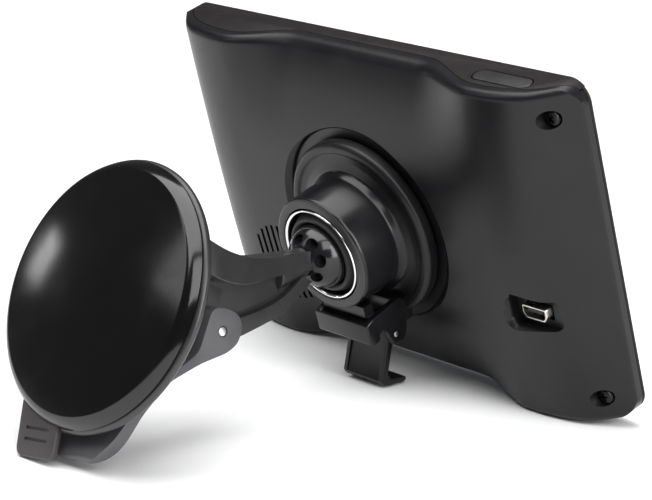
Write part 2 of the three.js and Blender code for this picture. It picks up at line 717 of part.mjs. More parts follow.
function lockLever() {
  const width = 20;
  const skin = [
    [5.2, -36.0], [2.6, -38.2], [-1.4, -38.0], [-4.4, -35.4], [-9.0, -27.8],
    [-15.4, -19.4], [-24.4, -13.4], [-LEVER_REACH + 2.4, -8.8], [-LEVER_REACH, -6.6],
    [-LEVER_REACH + 0.6, -4.8], [-LEVER_REACH + 3.2, -5.2], [-23.6, -10.9],
    [-17.2, -14.8], [-13.8, -19.4], [-6.6, -26.6], [4.4, -27.4], [5.6, -31.6],
  ];
  const body = sideSlab(skin, width);
  const plan = new THREE.Shape();
  plan.moveTo(-8.8, 8);
  plan.lineTo(-8.8, -8);
  plan.lineTo(-width / 2, -24);
  plan.lineTo(-width / 2, -LEVER_REACH + 7);
  plan.quadraticCurveTo(-width / 2 + 1, -LEVER_REACH, 0, -LEVER_REACH);
  plan.quadraticCurveTo(width / 2 - 1, -LEVER_REACH, width / 2, -LEVER_REACH + 7);
  plan.lineTo(width / 2, -24);
  plan.lineTo(8.8, -8);
  plan.lineTo(8.8, 8);
  const planSlab = solid(extrude(plan, 60, 10).translate(0, 0, -50));
  const slot = block(10.8, 38, 40, 0, 9.5, -30);
  const bore = crossRod(1.35, -20, 20, 0, -PIN_BACK, 16);
  return cut(body.intersect(planSlab), slot, bore);
}

// ---------------------------------------------------------------- assembly

const unit = new THREE.Group();
const lean = LEAN * DEG;
unit.setRotationFromMatrix(
  new THREE.Matrix4().makeBasis(
    new THREE.Vector3(-1, 0, 0),
    new THREE.Vector3(0, Math.sin(lean), Math.cos(lean)),
    new THREE.Vector3(0, Math.cos(lean), -Math.sin(lean)),
  ),
);
unit.add(
  part("rear_cover", rearCover(), BLACK_PLASTIC, 0.45),
  part("front_housing", frontHousing(), MATTE_PLASTIC, 0.6),
  ...insides(),
  part("case_screw_top", caseScrew(1), 0x3a3a3c, 0.35, 1),
  part("case_screw_bottom", caseScrew(-1), 0x3a3a3c, 0.35, 1),
  part("power_button", powerButton(), MATTE_PLASTIC, 0.55),
  part("cradle_disc_and_collar", cradleMoulding(), GLOSS_BLACK, 0.2),
  part("release_lever", releaseLever(), BLACK_PLASTIC, 0.35),
  part("release_lever_pin", leverPin(), STEEL, 0.3, 1),
  part("socket_liner", socketLiner(), 0x151516, 0.4),
  part("ball_seat", seatCup(BALL_RADIUS + GAP), 0xd8d6cf, 0.5),
  part("seat_spring_cup", seatCup(BALL_RADIUS + 2 * GAP + SEAT_WALL), STEEL, 0.35, 1),
  part("socket_ring", chromeRing(), 0xe6e8ea, 0.12, 1),
);

const mount = new THREE.Group();
const swing = new THREE.Matrix4().makeRotationZ(-CUP_SWING * DEG);
const tilt = new THREE.Matrix4().makeRotationX(CUP_TILT * DEG);
const roll = new THREE.Matrix4().makeRotationY(CUP_ROLL * DEG);
const facing = new THREE.Matrix4().makeBasis(
  new THREE.Vector3(-1, 0, 0),
  new THREE.Vector3(0, 0, 1),
  new THREE.Vector3(0, 1, 0),
);
mount.setRotationFromMatrix(swing.multiply(tilt).multiply(roll).multiply(facing));
mount.add(
  part("base_and_arm", baseAndArm(), BLACK_PLASTIC, 0.4),
  part("suction_cup", suctionCup(), RUBBER, 0.08),
  part("pull_stud", pullStud(), STEEL, 0.35, 1),
  part("stud_spring", studSpring(), STEEL, 0.3, 1),
  part("lock_lever", lockLever(), BLACK_PLASTIC, 0.4),
  part("lock_lever_pin", crossRod(1.1, -8.7, 8.7, 0, -PIN_BACK, 20), STEEL, 0.2, 1),
);

// The mount hangs on its ball, whose centre lies on the collar's axis.
const ballInUnit = new THREE.Vector3(0, 0, BALL_DEPTH).applyQuaternion(unit.quaternion);
const ballInMount = new THREE.Vector3(0, BALL_UP, -BALL_BACK).applyQuaternion(mount.quaternion);
mount.position.subVectors(ballInUnit, ballInMount);

// The origin is the middle of the footprint, on the surface that the object stands on.
const navigator = new THREE.Group();
navigator.add(unit, mount);
navigator.updateMatrixWorld(true);
const box = new THREE.Box3().setFromObject(navigator, true);
navigator.position.set(-(box.min.x + box.max.x) / 2, -(box.min.y + box.max.y) / 2, -box.min.z);

export default navigator;
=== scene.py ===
# %% [markdown]
# # A portable navigator on its suction mount
# The model stands like an easel: the unit leans back on its lower rear edge and the suction
# cup props it up. The engineering model is already made, so this lesson dresses it. Every piece
# is built in millimetres in one of two local frames, the unit's or the cup's, and is then put
# in its place in metres. The joints of the engineering model say where those frames are.

# %% Load the engineering model
import json
import math

import bmesh
import bpy
import numpy as np
from mathutils import Matrix, Vector


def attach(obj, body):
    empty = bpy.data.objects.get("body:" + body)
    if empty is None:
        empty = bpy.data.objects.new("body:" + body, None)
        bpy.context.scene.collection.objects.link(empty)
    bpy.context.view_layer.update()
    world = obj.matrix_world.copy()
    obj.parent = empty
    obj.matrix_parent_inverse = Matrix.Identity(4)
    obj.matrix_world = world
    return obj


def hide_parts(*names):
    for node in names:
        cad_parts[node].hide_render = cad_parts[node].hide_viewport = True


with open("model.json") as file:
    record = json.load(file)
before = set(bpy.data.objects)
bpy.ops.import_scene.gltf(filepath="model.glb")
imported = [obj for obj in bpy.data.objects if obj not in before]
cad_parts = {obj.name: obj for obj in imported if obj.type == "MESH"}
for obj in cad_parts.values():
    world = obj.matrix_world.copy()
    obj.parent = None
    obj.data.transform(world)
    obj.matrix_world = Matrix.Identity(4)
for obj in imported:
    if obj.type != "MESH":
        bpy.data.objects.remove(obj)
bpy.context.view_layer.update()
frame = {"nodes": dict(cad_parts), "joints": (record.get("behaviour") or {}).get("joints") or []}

# %% [markdown]
# ## Two local frames
# The unit frame has +X to the right as seen from behind, +Y up along the unit and +Z out of
# its back. The cup frame has +Z out of the sucking face. Copying numbers from the engineering
# model by hand would drift, so the joints' own axes build both frames.

# %% Frames from the joints
MM = 0.001
BALL_DEPTH = 32.4  # the ball's centre, from the screen side
PIN_BACK = 32.4  # the lock lever's pin, behind the cup's lip
joint = {j["name"]: j for j in frame["joints"]}


def axis(name):
    return Vector(joint[name]["axis"]).normalized()


def local_frame(x_axis, y_axis, z_axis, origin):
    """Millimetres in a local frame to metres in the model's frame."""
    turn = Matrix((x_axis, y_axis, z_axis)).transposed().to_4x4()
    return Matrix.Translation(origin) @ turn @ Matrix.Scale(MM, 4)


unit_out = axis("ball_twist")
ball_centre = Vector(joint["ball_tilt"]["pos_m"])
UNIT = local_frame(
    axis("ball_tilt"), axis("ball_swing"), unit_out, ball_centre - unit_out * BALL_DEPTH * MM
)
cup_out = axis("stud_pull")
cup_side = axis("lock_lever_hinge")
pin_centre = Vector(joint["lock_lever_hinge"]["pos_m"])
CUP = local_frame(
    cup_side, cup_out.cross(cup_side), cup_out, pin_centre + cup_out * PIN_BACK * MM
)
print("ball in the cup frame, mm:", [round(v, 2) for v in CUP.inverted() @ ball_centre])

# %% [markdown]
# ## Outlines
# Almost every moulded part here is a turned profile or an outline pushed through a thickness,
# joined and cut. So the first tools are flat curves. Corners of an outline are rounded before
# it becomes a solid, because a rounded corner is what catches light on plastic.

# %% Outline helpers
CORNER_SHARE = 0.45  # the most of a side that one rounded corner may use up


def rounded(points, radius, steps=4, closed=False):
    """The same outline with each corner replaced by a short curve."""
    made = []
    count = len(points)
    for i, here in enumerate(points):
        here = np.array(here, float)
        if not closed and i in (0, count - 1):
            made.append(here)
            continue
        before = np.array(points[i - 1], float) - here
        after = np.array(points[(i + 1) % count], float) - here
        before_length, after_length = np.linalg.norm(before), np.linalg.norm(after)
        start = here + before / before_length * min(radius, CORNER_SHARE * before_length)
        end = here + after / after_length * min(radius, CORNER_SHARE * after_length)
        for t in np.linspace(0, 1, steps + 1):
            made.append((1 - t) ** 2 * start + 2 * t * (1 - t) * here + t * t * end)
    return [tuple(p) for p in made]


def smooth(points, steps=8):
    """A curve through all the points (Catmull-Rom), with so many steps to each span."""
    p = np.array([points[0], *points, points[-1]], float)
    made = []
    for i in range(1, len(p) - 2):
        for t in np.linspace(0, 1, steps, endpoint=False):
            a, b, c, d = p[i - 1 : i + 3]
            made.append(
                0.5 * (2 * b + (c - a) * t + (2 * a - 5 * b + 4 * c - d) * t**2)
                + 0.5 * (3 * b - a - 3 * c + d) * t**3
            )
    return [tuple(q) for q in made] + [tuple(points[-1])]


def rectangle(width, height, radius, x=0.0, y=0.0, steps=8):
    """A rounded rectangle's outline."""
    across, up = width / 2 - radius, height / 2 - radius
    points = []
    for corner, (side_x, side_y) in enumerate([(1, 1), (-1, 1), (-1, -1), (1, -1)]):
        for t in np.linspace(0, math.pi / 2, steps + 1):
            turn = t + corner * math.pi / 2
            points.append(
                (x + side_x * across + radius * math.cos(turn),
                 y + side_y * up + radius * math.sin(turn))
            )
    return points


def circle(radius, x=0.0, y=0.0, steps=48):
    turns = np.linspace(0, 2 * math.pi, steps, endpoint=False)
    return [(x + radius * math.cos(t), y + radius * math.sin(t)) for t in turns]


print("a rounded square has", len(rectangle(10, 10, 1)), "points")

# %% [markdown]
# ## Solids
# A solid is a turned profile, a slab with an outline, or a loft through several outlines.
# Doubled points are merged and the faces turned outwards at once, because the booleans that
# follow need closed solids.

# %% Solid helpers
TOUCHING = 1e-5  # points closer than this, in millimetres, are one point
PLANES = {
    "z": lambda u, v, w: (u, v, w),  # outline in X and Y, pushed along Z
    "x": lambda u, v, w: (w, u, v),  # outline in Y and Z, pushed along X
    "y": lambda u, v, w: (u, w, v),  # outline in X and Z, pushed along Y
}


def new_object(name, data):
    body = bpy.data.objects.new(name, data)
    bpy.context.scene.collection.objects.link(body)
    return body


def weld(body):
    """Merges doubled points and turns every face outwards."""
    made = bmesh.new()
    made.from_mesh(body.data)
    bmesh.ops.remove_doubles(made, verts=made.verts, dist=TOUCHING)
    bmesh.ops.recalc_face_normals(made, faces=made.faces)
    made.to_mesh(body.data)
    made.free()
    return body


def shape(name, vertices, faces):
    """A closed mesh object whose faces all point outwards."""
    mesh = bpy.data.meshes.new(name)
    mesh.from_pydata([tuple(map(float, v)) for v in vertices], [], faces)
    return weld(new_object(name, mesh))


def turned(name, profile, segments=96):
    """Spins [radius, z] points round Z. The profile ends on the axis, or closes on itself."""
    vertices, rings = [], []
    for radius, z in profile:
        if radius < TOUCHING:
            rings.append([len(vertices)] * segments)
            vertices.append((0, 0, z))
            continue
        rings.append(list(range(len(vertices), len(vertices) + segments)))
        vertices += [(x, y, z) for x, y in circle(radius, steps=segments)]
    closed = profile[0][0] > TOUCHING
    faces = []
    for low, high in zip(rings, rings[1:] + rings[:1] if closed else rings[1:]):
        for i in range(segments):
            k = (i + 1) % segments
            corners = list(dict.fromkeys([low[i], low[k], high[k], high[i]]))
            if len(corners) > 2:
                faces.append(corners)
    return shape(name, vertices, faces)


def slab(name, outline, low, high, along="z"):
    """An outline pushed from low to high along one axis."""
    point = PLANES[along]
    count = len(outline)
    vertices = [point(u, v, level) for level in (low, high) for u, v in outline]
    sides = [[i, (i + 1) % count, (i + 1) % count + count, i + count] for i in range(count)]
    return shape(name, vertices, [list(range(count)), list(range(count, 2 * count)), *sides])


def loft(name, levels):
    """A solid through outlines with equal numbers of points, given as (outline, z)."""
    vertices = [(u, v, z) for outline, z in levels for u, v in outline]
    count = len(levels[0][0])
    last = len(vertices) - count
    faces = []
    for low in range(0, last, count):
        for i in range(count):
            k = (i + 1) % count
            faces.append([low + i, low + k, low + count + k, low + count + i])
    return shape(name, vertices, [*faces, list(range(count)), list(range(last, last + count))])


def block(size, centre):
    """A box of that size, in millimetres, as a cutting tool or a plain bar."""
    (a, b, c), (x, y, z) = size, centre
    return slab("block", rectangle(a, b, 0.01, x, y, 1), z - c / 2, z + c / 2)


print("ready to turn, push and loft along", ", ".join(PLANES))

# %% [markdown]
# ## Joining, cutting and softening
# A mould is cut from steel, and a moulded part is easiest to build the same way: one body, with
# tools joined to it or cut from it. Each modifier is applied at once, so that the next step
# meets a plain mesh.

# %% Boolean and edge helpers
def bake(body):
    """Applies the modifiers that are on a body."""
    graph = bpy.context.evaluated_depsgraph_get()
    graph.update()
    mesh = bpy.data.meshes.new_from_object(body.evaluated_get(graph))
    body.modifiers.clear()
    body.data = mesh
    return body


def combine(body, tools, operation):
    """Joins tools to a body, cuts them from it, or keeps what they share."""
    for tool in tools:
        step = body.modifiers.new(operation, "BOOLEAN")
        step.operation = operation
        step.object = tool
        step.solver = "MANIFOLD"
        bake(body)
        bpy.data.objects.remove(tool)
    return body


def fuse(body, *tools):
    return combine(body, tools, "UNION")


def carve(body, *tools):
    return combine(body, tools, "DIFFERENCE")


def common(body, *tools):
    return combine(body, tools, "INTERSECT")


def soften(body, width, segments=3, angle=38):
    """Rounds every edge sharper than the angle."""
    step = body.modifiers.new("soften", "BEVEL")
    step.width = width
    step.segments = segments
    step.limit_method = "ANGLE"
    step.angle_limit = math.radians(angle)
    step.use_clamp_overlap = True
    return bake(body)


def moved(body, matrix):
    body.data.transform(matrix)
    return body


def at(x, y, z):
    return Matrix.Translation((x, y, z))


# %% [markdown]
# ## Finishing a piece
# A finished piece has its place in its mesh and its object at the origin, as the engineering
# nodes do. It is shaded smooth, with real edges kept crisp, and it rides on the body that it
# belongs to, so that it moves when the joint does.

# %% Piece helper
def finish(body, name, where, rides_on, material, slot, *nodes, crease=32):
    """Puts a body in place and makes it a named piece that stands for engineering nodes."""
    body.name = name
    body.data.name = name
    moved(body, where)
    body.data.materials.clear()
    body.data.materials.append(material)
    for face in body.data.polygons:
        face.use_smooth = True
        face.material_index = 0
    body.data.set_sharp_from_angle(angle=math.radians(crease))
    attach(body, rides_on)
    if nodes:
        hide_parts(*nodes)
    print(f"{name}: {len(body.data.polygons)} faces")
    return body


# %% [markdown]
# ## Sums in a node tree
# Geometry Nodes and shaders both do arithmetic one Math node at a time, which is hard to read
# when it is wired by hand. A small class stands for a number in a tree, so that ordinary sums
# in the script become the nodes.

# %% Node helpers
class Field:
    """A number in a node tree. Arithmetic on it adds Math nodes."""

    def __init__(self, tree, socket):
        self.tree = tree
        self.socket = socket

    def math(self, operation, *others):
        sources = dict(enumerate((self, *others)))
        node = add(self.tree, "ShaderNodeMath", sources, operation=operation)
        return Field(self.tree, node.outputs[0])

    def __add__(self, other):
        return self.math("ADD", other)

    def __sub__(self, other):
        return self.math("SUBTRACT", other)

    def __rsub__(self, other):
        return (self * -1.0) + other

    def __mul__(self, other):
        return self.math("MULTIPLY", other)

    def __truediv__(self, other):
        return self.math("DIVIDE", other)

    def __pow__(self, other):
        return self.math("POWER", other)

    def at_least(self, other):
        return self.math("MAXIMUM", other)

    def at_most(self, other):
        return self.math("MINIMUM", other)

    def remap(self, low, high, to_low=0.0, to_high=1.0):
        """Stretches the range low to high over another one, and stops at its ends."""
        ranges = {"From Min": low, "From Max": high, "To Min": to_low, "To Max": to_high}
        node = add(self.tree, "ShaderNodeMapRange", {"Value": self, **ranges})
        return Field(self.tree, node.outputs["Result"])


def connect(tree, node, sources):
    """Links sockets and fields to a node's inputs, and sets plain values on the others."""
    for key, source in sources.items():
        if isinstance(source, Field):
            source = source.socket
        if isinstance(source, bpy.types.NodeSocket):
            tree.links.new(source, node.inputs[key])
        else:
            node.inputs[key].default_value = source
    return node


def add(tree, kind, sources=None, **settings):
    """Adds a node. Settings are its properties, and sources feed its inputs."""
    node = tree.nodes.new(kind)
    for key, setting in settings.items():
        setattr(node, key, setting)
    return connect(tree, node, sources or {})


# %% [markdown]
# ## Geometry Nodes in the script
# What repeats or follows a rule is made by a node tree with named inputs: the case's back, the
# speaker's slits, the screws, the pockets in the ball, the grip grooves, the spring and the
# contacts. Every tree ends the same way: instances made real, then a material.

# %% Recipes
class Recipe:
    """A Geometry Nodes tree with named inputs, which ends in real, painted geometry."""

    def __init__(self, name, **inputs):
        self.tree = bpy.data.node_groups.new(name, "GeometryNodeTree")
        face = self.tree.interface
        face.new_socket("Geometry", in_out="OUTPUT", socket_type="NodeSocketGeometry")
        self.identifier = {}
        for label, value in inputs.items():
            kind = "NodeSocketInt" if isinstance(value, int) else "NodeSocketFloat"
            socket = face.new_socket(label, in_out="INPUT", socket_type=kind)
            socket.default_value = value
            self.identifier[label] = socket.identifier
        paint = face.new_socket("Material", in_out="INPUT", socket_type="NodeSocketMaterial")
        self.identifier["Material"] = paint.identifier
        self.start = self.tree.nodes.new("NodeGroupInput")

    def value(self, label):
        return Field(self.tree, self.start.outputs[label])

    def node(self, kind, sources=None, **settings):
        return add(self.tree, kind, sources, **settings)

    def index(self):
        return Field(self.tree, self.node("GeometryNodeInputIndex").outputs[0])

    def vector(self, x, y, z):
        return self.node("ShaderNodeCombineXYZ", {"X": x, "Y": y, "Z": z}).outputs[0]

    def points(self, count, x, y):
        """So many points, each at the x and y that the fields give for its index."""
        line = self.node("GeometryNodeMeshLine", {"Count": count}).outputs[0]
        place = {"Geometry": line, "Position": self.vector(x, y, 0.0)}
        return self.node("GeometryNodeSetPosition", place).outputs[0]

    def copies(self, points, instance, **sources):
        """One copy on each point, turned and scaled as the sources say."""
        sources = {"Points": points, "Instance": instance, **sources}
        return self.node("GeometryNodeInstanceOnPoints", sources).outputs[0]

    def finish(self, geometry):
        real = self.node("GeometryNodeRealizeInstances", {"Geometry": geometry})
        paint = self.node(
            "GeometryNodeSetMaterial",
            {"Geometry": real.outputs[0], "Material": self.start.outputs["Material"]},
        )
        end = self.tree.nodes.new("NodeGroupOutput")
        self.tree.links.new(paint.outputs[0], end.inputs[0])
        return self

    def make(self, name, material=None, **values):
        """Runs the tree with these values and returns the result as a plain mesh object."""
        body = new_object(name, bpy.data.meshes.new(name))
        step = body.modifiers.new(name, "NODES")
        step.node_group = self.tree
        for label, value in values.items():
            step[self.identifier[label]] = value
        if material:
            step[self.identifier["Material"]] = material
        return weld(bake(body))


# %% [markdown]
# ## Shader tools
# A finish reads the piece's own place, so that its pattern is fixed to the piece. A group's
# inputs and outputs are all plain numbers: masks, heights and amounts.

# %% Shader helpers
def own_place(tree):
    """The piece's own coordinates, in metres, for a pattern to be fixed to."""
    return add(tree, "ShaderNodeTexCoord").outputs["Object"]


def noise(tree, place, scale, detail, **more):
    """A noise over a place. Its scale is in ripples per metre."""
    sources = {"Vector": place, "Scale": scale, "Detail": detail, **more}
    return Field(tree, add(tree, "ShaderNodeTexNoise", sources).outputs["Fac"])


def square_cells(tree, scale):
    """How far each point is from the middle of its square-cornered cell."""
    sources = {"Vector": own_place(tree), "Scale": scale}
    cells = add(tree, "ShaderNodeTexVoronoi", sources, distance="CHEBYCHEV", feature="F1")
    return Field(tree, cells.outputs["Distance"])


def blend_colour(tree, factor, low, high):
    mix = add(tree, "ShaderNodeMix", {"Factor": factor}, data_type="RGBA")
    return connect(tree, mix, {6: low, 7: high}).outputs[2]


def bump(tree, height, distance):
    """A normal from a height. The distance is in metres."""
    return add(tree, "ShaderNodeBump", {"Height": height, "Distance": distance}).outputs[0]


def new_group(name, inputs, outputs):
    """A shader group: its tree, its inputs as fields, and the node its outputs feed."""
    tree = bpy.data.node_groups.new(name, "ShaderNodeTree")
    for label, value in inputs.items():
        socket = tree.interface.new_socket(label, in_out="INPUT", socket_type="NodeSocketFloat")
        socket.default_value = value
    for label in outputs:
        tree.interface.new_socket(label, in_out="OUTPUT", socket_type="NodeSocketFloat")
    start = tree.nodes.new("NodeGroupInput")
    given = {label: Field(tree, start.outputs[label]) for label in inputs}
    return tree, given, tree.nodes.new("NodeGroupOutput")


# %% [markdown]
# ## Shared effects
# Moulded plastic is never one flat colour: the tool leaves a fine grain, handling polishes the
# edges, and dust settles on what faces upwards. Each effect is a node group that puts out a mask or
# a height, and each material gives it its own values.

# %% Moulded grain, wear and dust groups
def grain_group():
    """A spark-eroded tool's texture: fine pits with a slow unevenness under them."""
    tree, given, end = new_group(
        "Moulded grain", {"Grains per metre": 4000.0, "Unevenness": 0.3}, ["Height", "Mottle"]
    )
    place = own_place(tree)
    pits = noise(tree, place, given["Grains per metre"], 2.0, Roughness=0.6)
    slow = noise(tree, place, 90.0, 3.0)
    height = pits + slow * given["Unevenness"]
    connect(tree, end, {"Height": height, "Mottle": slow.remap(0.35, 0.65)})
    return tree


def wear_group():
    """Where hands have polished an edge, broken up so that it isn't an outline."""
    tree, given, end = new_group("Edge wear", {"Amount": 0.5}, ["Mask"])
    edge = Field(tree, add(tree, "ShaderNodeNewGeometry").outputs["Pointiness"])
    patchy = noise(tree, own_place(tree), 260.0, 4.0)
    broken = edge.remap(0.53, 0.62) * patchy.remap(0.38, 0.62)
    connect(tree, end, {"Mask": broken * given["Amount"]})
    return tree


def dust_group():
    """Dust that settles on what faces upwards, and faint smears from fingers."""
    tree, given, end = new_group(
        "Dust and smears", {"Dust": 0.3, "Smears": 0.3}, ["Dust mask", "Smear mask"]
    )
    place = own_place(tree)
    facing = add(tree, "ShaderNodeNewGeometry").outputs["Normal"]
    upward = Field(tree, add(tree, "ShaderNodeSeparateXYZ", {0: facing}).outputs["Z"])
    specks = noise(tree, place, 1500.0, 5.0)
    settled = upward.remap(0.1, 0.9) * specks.remap(0.5, 0.75)
    streaks = noise(tree, place, 55.0, 5.0, Distortion=1.6)
    smear = streaks.remap(0.5, 0.72) * given["Smears"]
    connect(tree, end, {"Dust mask": settled * given["Dust"], "Smear mask": smear})
    return tree


def brushed_group():
    """The fine parallel lines of rolled or ground metal."""
    tree, given, end = new_group("Ground lines", {"Lines per metre": 6000.0}, ["Height"])
    long_grain = {"Vector": own_place(tree), "Scale": (1.0, 0.04, 1.0)}
    stretch = add(tree, "ShaderNodeMapping", long_grain).outputs[0]
    connect(tree, end, {"Height": noise(tree, stretch, given["Lines per metre"], 3.0)})
    return tree


GRAIN, WEAR, DUST, BRUSHED = grain_group(), wear_group(), dust_group(), brushed_group()
print("effect groups:", ", ".join(group.name for group in (GRAIN, WEAR, DUST, BRUSHED)))

# %% [markdown]
# ## Materials
# Nearly everything is black, so the finishes have to differ in gloss rather than in colour:
# a satin case, a warmer soft-touch front, polished mouldings on the mount and a very glossy
# rubber face. One function makes every plastic and another every metal.

# %% Material makers
DUST_COLOUR = (0.32, 0.31, 0.29)
WORN_GAIN, WORN_LIFT = 1.5, 0.008  # how much lighter a polished edge is
SMEAR_ROUGHENS, DUST_ROUGHENS, WEAR_ROUGHENS = 0.12, 0.35, -0.12
UNEVEN_LOW, UNEVEN_HIGH = 0.92, 1.08  # how far a plastic's roughness strays


def opaque(colour):
    return (*colour, 1.0)


def use_group(tree, group, **values):
    """Places a group in a material with its own values, and returns its outputs by name."""
    node = add(tree, "ShaderNodeGroup", node_tree=group)
    connect(tree, node, {label.replace("_", " "): value for label, value in values.items()})
    return {socket.name: Field(tree, socket) for socket in node.outputs}


def principled(name):
    material = bpy.data.materials.new(name)
    material.use_nodes = True
    tree = material.node_tree
    return material, tree, tree.nodes["Principled BSDF"]


def plastic(name, colour, roughness, grain=4000.0, depth=0.00002, wear=0.2, dust=0.03,
            smears=0.25, coat=0.0, specular=0.5, mottle=0.25):
    """A moulded plastic or rubber. Depth is the grain's height in metres."""
    material, tree, shader = principled(name)
    texture = use_group(tree, GRAIN, Grains_per_metre=grain)
    worn = use_group(tree, WEAR, Amount=wear)
    dirt = use_group(tree, DUST, Dust=dust, Smears=smears)
    darker = opaque([c * (1 - mottle) for c in colour])
    lighter = opaque([min(1.0, c * WORN_GAIN + WORN_LIFT) for c in colour])
    tone = blend_colour(tree, texture["Mottle"], darker, opaque(colour))
    tone = blend_colour(tree, worn["Mask"], tone, lighter)
    tone = blend_colour(tree, dirt["Dust mask"], tone, opaque(DUST_COLOUR))
    rough = texture["Mottle"].remap(0, 1, roughness * UNEVEN_LOW, roughness * UNEVEN_HIGH)
    rough = rough + dirt["Smear mask"] * SMEAR_ROUGHENS + dirt["Dust mask"] * DUST_ROUGHENS
    connect(tree, shader, {
        "Base Color": tone,
        "Roughness": rough + worn["Mask"] * WEAR_ROUGHENS,
        "Normal": bump(tree, texture["Height"], depth),
        "Specular IOR Level": specular,
        "Coat Weight": coat,
        "Coat Roughness": 0.08,
    })
    return material


def metal(name, colour, roughness, lines=6000.0, depth=0.000008, tarnish=0.35):
    """A bare or plated metal with fine working lines and a slow tarnish."""
    material, tree, shader = principled(name)
    ground = use_group(tree, BRUSHED, Lines_per_metre=lines)
    mottle = use_group(tree, GRAIN, Grains_per_metre=900.0)["Mottle"]
    dull = opaque([c * (1 - tarnish) for c in colour])
    connect(tree, shader, {
        "Base Color": blend_colour(tree, mottle, opaque(colour), dull),
        "Roughness": mottle.remap(0, 1, roughness * 0.8, roughness * 1.3),
        "Normal": bump(tree, ground["Height"], depth),
        "Metallic": 1.0,
    })
    return material


# %% [markdown]
# ## The finishes
# Each finish is one call: a colour, a roughness, and the few values in which it differs from a
# plain moulding. The colours are nearly the same black, so the roughness and the strength of
# the mirror image do most of the telling apart.

# %% The finishes
CASE_BLACK = plastic("rear case plastic", (0.006, 0.006, 0.007), 0.32, 5200, 0.000012,
                     specular=0.32)
FRONT_BROWN = plastic("front frame plastic", (0.010, 0.008, 0.0075), 0.48, 3600, 0.00003,
                      specular=0.22)
KEY_BLACK = plastic("button plastic", (0.016, 0.015, 0.015), 0.42, 3600)
CRADLE_BLACK = plastic("cradle plastic", (0.007, 0.007, 0.008), 0.22, 2600, 0.000006, wear=0.15,
                       dust=0.0, specular=0.35)
RING_GREY = plastic("collar face", (0.03, 0.03, 0.031), 0.48, 3000)
DISC_BLACK = plastic("clip disc face", (0.007, 0.007, 0.008), 0.36, 3600, specular=0.3)
LEVER_BLACK = plastic("release lever plastic", (0.005, 0.005, 0.006), 0.3, 3000, specular=0.3)
LINER_BLACK = plastic("liner rubber", (0.01, 0.01, 0.01), 0.6, 2500, 0.00003)
ARM_BLACK = plastic("arm plastic", (0.026, 0.026, 0.027), 0.3, 3000)
BALL_BLACK = plastic("ball plastic", (0.008, 0.008, 0.009), 0.16, 2600, 0.000006, dust=0.02)
RUBBER_GLOSS = plastic("cup rubber", (0.003, 0.0025, 0.0025), 0.13, 1200, 0.000004, wear=0.1,
                       dust=0.01, smears=0.35)
TAB_RUBBER = plastic("tab rubber", (0.042, 0.037, 0.039), 0.5, 3000, 0.00003, dust=0.05)
LOCK_GREY = plastic("lock lever plastic", (0.075, 0.072, 0.078), 0.4, 3200, 0.00003)
SEAT_WHITE = plastic("seat plastic", (0.7, 0.69, 0.66), 0.4, 3000, mottle=0.08)
STUD_GREY = plastic("stud plastic", (0.1, 0.1, 0.1), 0.4, 3000)
CERAMIC = plastic("antenna ceramic", (0.5, 0.42, 0.32), 0.6, 3000, 0.00003)
FOIL = plastic("battery wrap", (0.3, 0.32, 0.34), 0.3, 900, 0.00006, coat=0.3)
CONE_PAPER = plastic("speaker cone", (0.03, 0.03, 0.032), 0.7, 2500, 0.00004)
SWITCH_GREY = plastic("switch body", (0.05, 0.05, 0.055), 0.45)
PIN_STEEL = metal("pin steel", (0.92, 0.92, 0.93), 0.3, tarnish=0.08)
PLAIN_STEEL = metal("plain steel", (0.62, 0.62, 0.61), 0.35)
SPRING_STEEL = metal("spring steel", (0.66, 0.66, 0.67), 0.25)
NICKEL = metal("nickel plate", (0.70, 0.68, 0.64), 0.25, depth=0.000004)
CHROME = metal("polished ring", (0.93, 0.93, 0.94), 0.08, depth=0.000001, tarnish=0.06)
SCREW_BLACK = metal("blackened steel", (0.035, 0.035, 0.037), 0.3)
print("the last finish made:", SCREW_BLACK.name)

# %% [markdown]
# ## The screen's glass and the circuit board
# The glass is clear over the panel and printed black round its border, so its see-through
# share is a mask over the piece's own place. The board's copper tracks are a grid of thin
# lines under green solder mask: cells of a Voronoi texture with square distance look routed.

# %% Glass, panel and board finishes
CLEAR_HALF_WIDTH, CLEAR_HALF_HEIGHT = 55.5, 31.6
PRINT_EDGE = 0.15  # millimetres over which the border's print ends


def unit_coordinates(tree):
    """Millimetres in the unit frame, from the piece's own coordinates."""
    inverse = UNIT.inverted()
    mapping = add(tree, "ShaderNodeMapping", {
        "Vector": own_place(tree),
        "Location": inverse.translation,
        "Rotation": inverse.to_euler(),
        "Scale": inverse.to_scale(),
    })
    return add(tree, "ShaderNodeSeparateXYZ", {0: mapping.outputs[0]})


def inside_mask(tree, place, half_width, half_height):
    """1 inside a rectangle about the middle of the screen, with a sharp edge."""
    across = Field(tree, place.outputs["X"]).math("ABSOLUTE")
    upward = Field(tree, place.outputs["Y"]).math("ABSOLUTE")
    return (across.remap(half_width, half_width - PRINT_EDGE)
            * upward.remap(half_height, half_height - PRINT_EDGE))


def glass_finish():
    material, tree, shader = principled("touch glass")
    place = unit_coordinates(tree)
    clear = inside_mask(tree, place, CLEAR_HALF_WIDTH, CLEAR_HALF_HEIGHT)
    smears = use_group(tree, DUST, Dust=0.02, Smears=0.6)["Smear mask"]
    connect(tree, shader, {
        "Base Color": blend_colour(tree, clear, (0.006, 0.006, 0.007, 1), (0.02, 0.022, 0.026, 1)),
        "Alpha": clear.remap(0, 1, 1.0, 0.35),
        "Roughness": smears * 0.1 + 0.05,
        "Coat Weight": 0.6,
        "Coat Roughness": 0.03,
    })
    return material


def panel_finish():
    material, tree, shader = principled("lcd layer")
    cells = square_cells(tree, 3500.0)
    tone = blend_colour(tree, cells, (0.010, 0.012, 0.016, 1), (0.03, 0.034, 0.042, 1))
    connect(tree, shader, {"Base Color": tone, "Roughness": 0.25})
    return material


